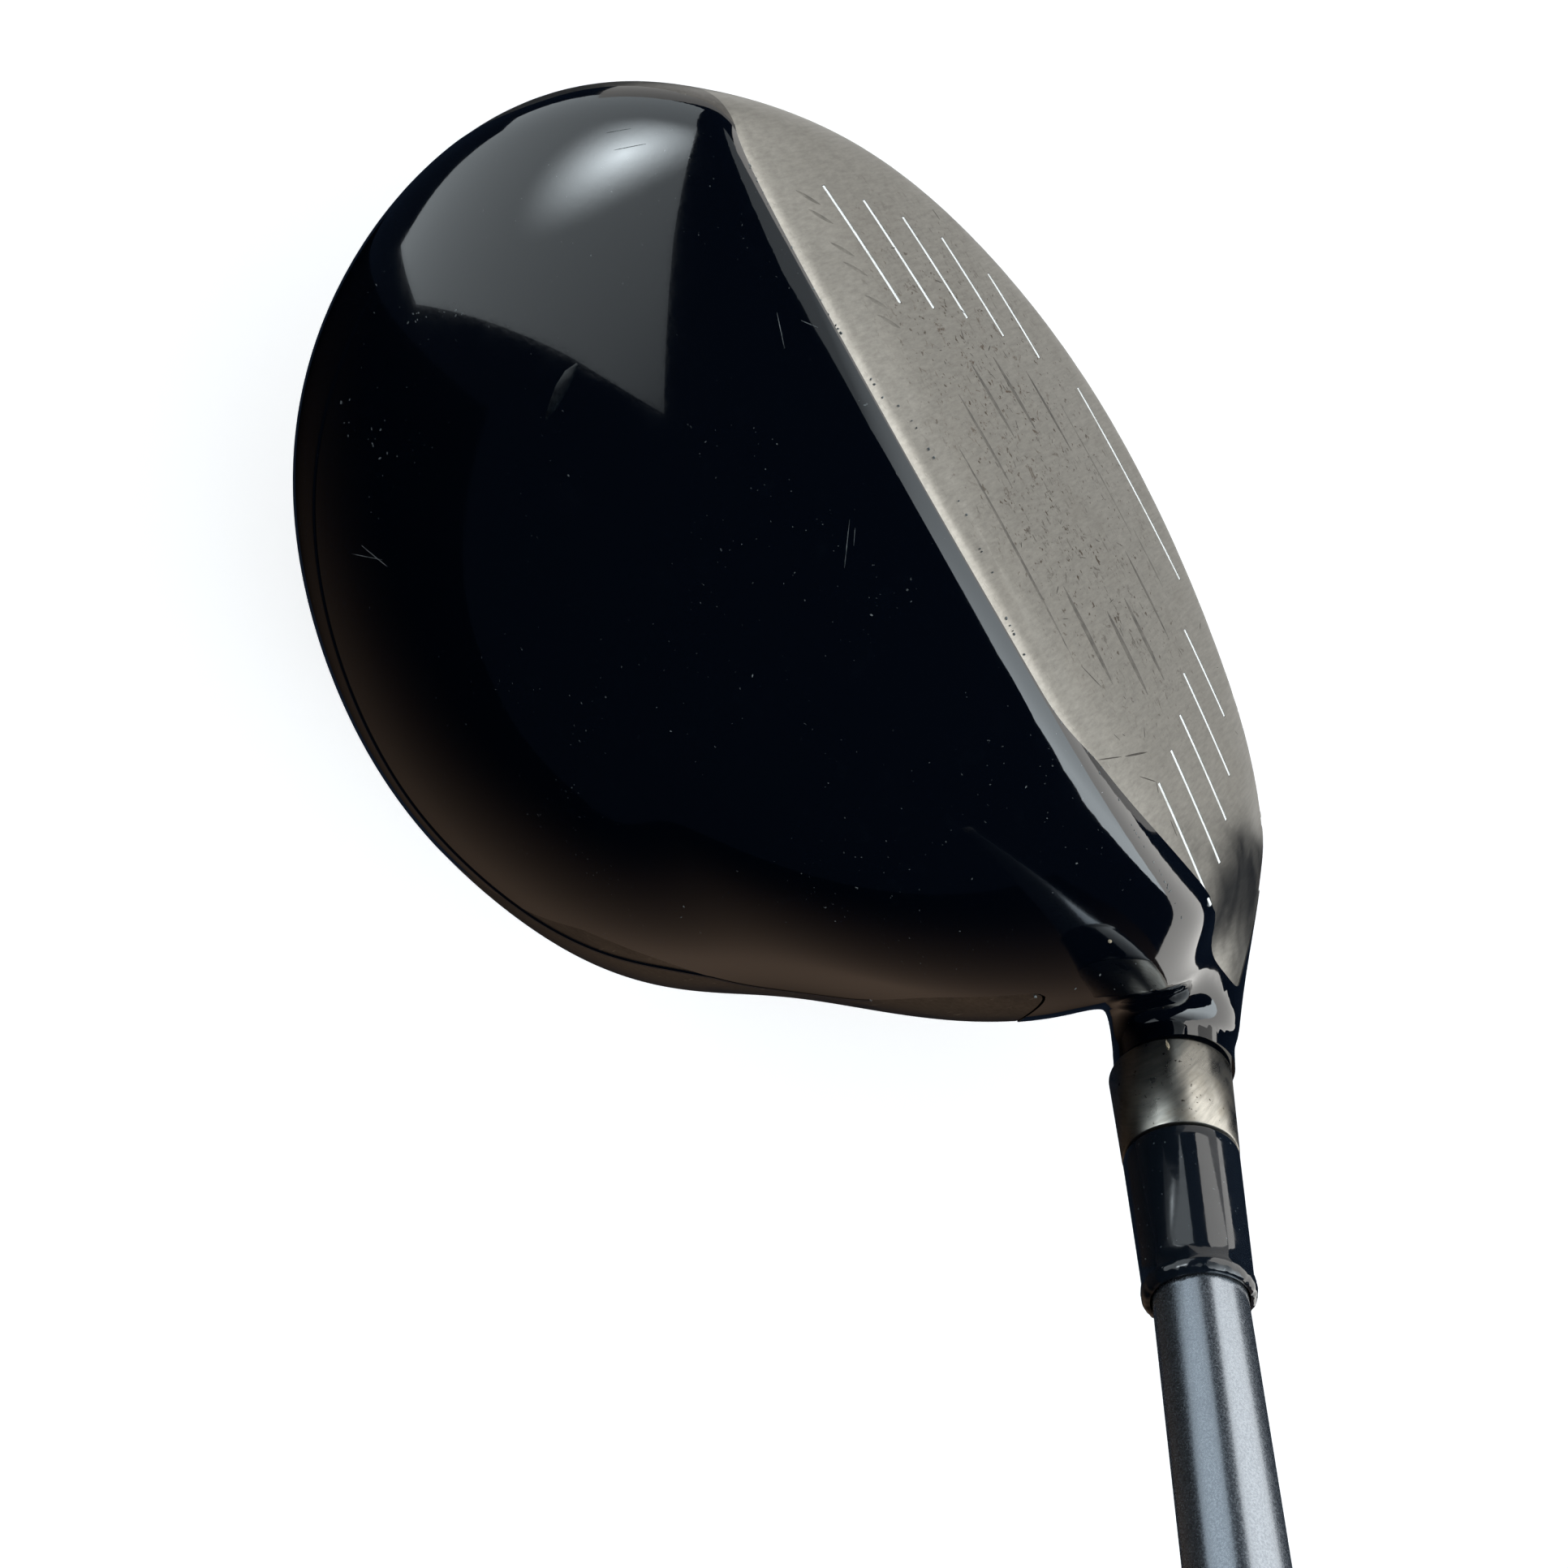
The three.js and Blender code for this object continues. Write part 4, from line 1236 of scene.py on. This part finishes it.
def studio_mesh(name, points, faces, material):
    mesh = bpy.data.meshes.new(name)
    mesh.from_pydata(points, [], faces)
    mesh.materials.append(material)
    mesh.update()
    made = bpy.data.objects.new(name, mesh)
    bpy.context.scene.collection.objects.link(made)
    return made


def card(name, corners, color, strength, lights_the_club=True, fade=None, spot=None):
    """A plain glowing panel that lights the club and shows in its reflections, but not to the camera.

    fade is (axis, start, end, strength at the end) and spot is (centre, reach, extra strength)."""
    corners, faces = corners if isinstance(corners, tuple) else (corners, [tuple(range(len(corners)))])
    glow = bpy.data.materials.new(name)
    glow.use_nodes = True
    nodes = glow.node_tree.nodes
    nodes.clear()
    emission = nodes.new("ShaderNodeEmission")
    emission.inputs["Color"].default_value = (*color, 1.0)
    emission.inputs["Strength"].default_value = strength
    output = nodes.new("ShaderNodeOutputMaterial")
    glow.node_tree.links.new(emission.outputs[0], output.inputs["Surface"])
    if fade:
        glow.node_tree.links.new(faded(glow.node_tree, strength, fade, spot), emission.inputs["Strength"])
    panel = studio_mesh(name, corners, faces, glow)
    panel.visible_camera = False
    panel.visible_shadow = False
    panel.visible_diffuse = lights_the_club


def faded(tree, strength, fade, spot):
    """A strength that changes along one axis, with a soft bright spot where one is asked for."""
    place = tree.nodes.new("ShaderNodeTexCoord").outputs["Object"]
    parts = tree.nodes.new("ShaderNodeSeparateXYZ")
    tree.links.new(place, parts.inputs[0])
    slope = tree.nodes.new("ShaderNodeMapRange")
    axis, start, end, last = fade
    for key, number in (("From Min", start), ("From Max", end), ("To Min", strength), ("To Max", last)):
        slope.inputs[key].default_value = number
    tree.links.new(parts.outputs[axis], slope.inputs["Value"])
    if not spot:
        return slope.outputs["Result"]
    centre, reach, extra = spot
    mapping = tree.nodes.new("ShaderNodeMapping")
    mapping.vector_type = "TEXTURE"
    mapping.inputs["Location"].default_value = centre
    mapping.inputs["Scale"].default_value = reach
    tree.links.new(place, mapping.inputs["Vector"])
    ball = tree.nodes.new("ShaderNodeTexGradient")
    ball.gradient_type = "QUADRATIC_SPHERE"
    tree.links.new(mapping.outputs["Vector"], ball.inputs["Vector"])
    boost = tree.nodes.new("ShaderNodeMath")
    boost.operation = "MULTIPLY_ADD"
    boost.inputs[1].default_value = extra
    tree.links.new(ball.outputs["Fac"], boost.inputs[0])
    tree.links.new(slope.outputs["Result"], boost.inputs[2])
    return boost.outputs[0]


def pale_surface(name, points, faces, tone, roughness, glow):
    """A matt, faintly glowing studio surface that never shows in the club's reflections."""
    pale = bpy.data.materials.new(name + "_pale")
    pale.use_nodes = True
    surface = pale.node_tree.nodes["Principled BSDF"]
    surface.inputs["Base Color"].default_value = (tone, tone, tone, 1.0)
    surface.inputs["Roughness"].default_value = roughness
    surface.inputs["Emission Color"].default_value = (1.0, 1.0, 1.0, 1.0)
    surface.inputs["Emission Strength"].default_value = glow
    made = studio_mesh(name, points, faces, pale)
    made.visible_glossy = False
    return made


def studio_floor():
    size = 4.0
    low = -0.0004
    corners = [(-size, -size, low), (size, -size, low), (size, size, low), (-size, size, low)]
    floor = pale_surface("floor", corners, [(0, 1, 2, 3)], 0.85, 0.9, 0.75)


def backdrop():
    """A pale wall round the floor, for the views from the side."""
    sides = 48
    radius = 3.9
    height = 6.0
    points = []
    for k in range(sides):
        turn = 2 * math.pi * k / sides
        for z in (-0.01, height):
            points.append((radius * math.cos(turn), radius * math.sin(turn), z))
    faces = []
    for k in range(sides):
        m = (k + 1) % sides
        faces.append((2 * k, 2 * k + 1, 2 * m + 1, 2 * m))
    wall = pale_surface("backdrop", points, faces, 0.8, 1.0, 0.7)
    wall.visible_diffuse = False
    wall.visible_shadow = False


def arc_points(radius, start, end, low, high):
    """Corners of a curved panel round the club between two directions, given in degrees, and two heights."""
    steps = 24
    corners = []
    for k in range(steps + 1):
        turn = math.radians(start + (end - start) * k / steps)
        for z in (low, high):
            corners.append((radius * math.cos(turn), radius * math.sin(turn), z))
    return corners, [(2 * k, 2 * k + 1, 2 * k + 3, 2 * k + 2) for k in range(steps)]


def studio():
    studio_floor()
    backdrop()
    toe = 0.8
    sky = (0.86, 0.95, 1.0)
    warm = (1.0, 0.985, 0.95)
    brown = (1.0, 0.7, 0.5)
    card("toe_softbox", [
        (toe, -0.2, -0.14), (toe, 0.2, -0.14), (toe, 0.24, -0.03), (toe, 0.56, 0.02), (toe, 0.6, 0.32),
        (toe, 0.36, 1.12), (toe, 0.14, 2.0), (toe, -0.1, 1.0), (toe, -0.4, -0.03), (toe, -0.22, -0.05),
    ], sky, 1.05, fade=("Z", 0.1, 2.0, 0.35), spot=((toe, -0.02, 0.53), (0.34, 0.34, 0.22), 9.5))
    card("front_softbox", [(-1.6, -1.1, 0.05), (1.2, -1.1, 0.05), (1.2, -1.1, 1.9), (-1.6, -1.1, 1.9)],
         sky, 3.8, fade=("X", -0.9, 0.5, 0.5))
    card("low_sweep", arc_points(1.0, -50, -178, -0.76, 0.16), warm, 1.9, False)
    low = -0.002
    card("front_floor", [(-0.055, -0.13, low), (0.5, -0.13, low), (0.5, -0.02, low), (-0.055, -0.02, low)],
         warm, 0.62, False)
    card("rear_sweep", arc_points(1.2, 40, 185, -0.9, 1.1), brown, 0.0, False,
         fade=("Z", 0.0, 1.0, 0.0), spot=((-0.9, 0.8, -0.2), (1.9, 1.9, 1.25), 0.26))
    world = bpy.data.worlds.new("studio")
    world.use_nodes = True
    background = world.node_tree.nodes["Background"]
    background.inputs["Color"].default_value = (0.35, 0.55, 1.0, 1.0)
    background.inputs["Strength"].default_value = 0.018
    bpy.context.scene.world = world


def camera():
    """Over the head from the face side, with the shaft coming up past the lens.

    The turn, the place and the lens come from a fit to the photograph, made by a separate program."""
    data = bpy.data.cameras.new("camera")
    made = bpy.data.objects.new("camera", data)
    bpy.context.scene.collection.objects.link(made)
    right = Vector((-0.4843, -0.8091, -0.3328))
    up = Vector((0.8715, -0.4128, -0.2648))
    back = Vector((0.0769, -0.4183, 0.9050))
    turn = Matrix((right, up, back)).transposed().to_4x4()
    place = (-0.00007, -0.08487, 0.2307)
    made.matrix_world = Matrix.Translation(place) @ turn
    data.sensor_width = 36.0
    data.lens = 44.05
    data.clip_start = 0.01
    data.clip_end = 100.0
    bpy.context.scene.camera = made


# ---------------------------------------------------------------- assembly

def inner_pieces():
    """The pieces inside the club keep their CAD shapes and get finished materials."""
    finishes = {
        "hot_melt_pad": inner_material("hot_melt", (0.5, 0.4, 0.18), (0.68, 0.56, 0.3), 0.45, 0.0, 300),
        "rear_weight_pad": inner_material(
            "weight_metal", (0.16, 0.165, 0.17), (0.26, 0.27, 0.28), 0.4, 1.0, 500,
        ),
        "shaft_tip_plug": inner_material("plug_cork", (0.3, 0.17, 0.08), (0.5, 0.31, 0.16), 0.85, 0.0, 900),
        "tip_weight_pin": inner_material("pin_brass", (0.42, 0.29, 0.1), (0.58, 0.42, 0.17), 0.32, 1.0, 700),
        "grip_tape": inner_material("grip_tape", (0.58, 0.54, 0.4), (0.72, 0.68, 0.54), 0.8, 0.0, 400),
        "sole_badge": badge_metal(),
    }
    for name, material in finishes.items():
        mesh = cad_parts[name].data
        mesh.materials.clear()
        mesh.materials.append(material)


def build():
    camera()
    studio()
    titanium = face_titanium()
    gloss = crown_paint()
    head_pieces(titanium, gloss, skirt_satin())
    crease_line(gloss)
    score_fills(groove_paint())
    etchings(etched_grey(), faint_etch())
    wear(chip_grey(), dark_nick(), tan_speck(), dull_paint())
    hosel_collar(collar_metal())
    ferrule_ring(ferrule_plastic())
    shaft_tube(shaft_paint())
    rubber = grip_rubber()
    grip_sleeve(rubber)
    grip_end_cap(rubber)
    inner_pieces()
    bpy.context.scene.view_settings.view_transform = "Standard"


build()
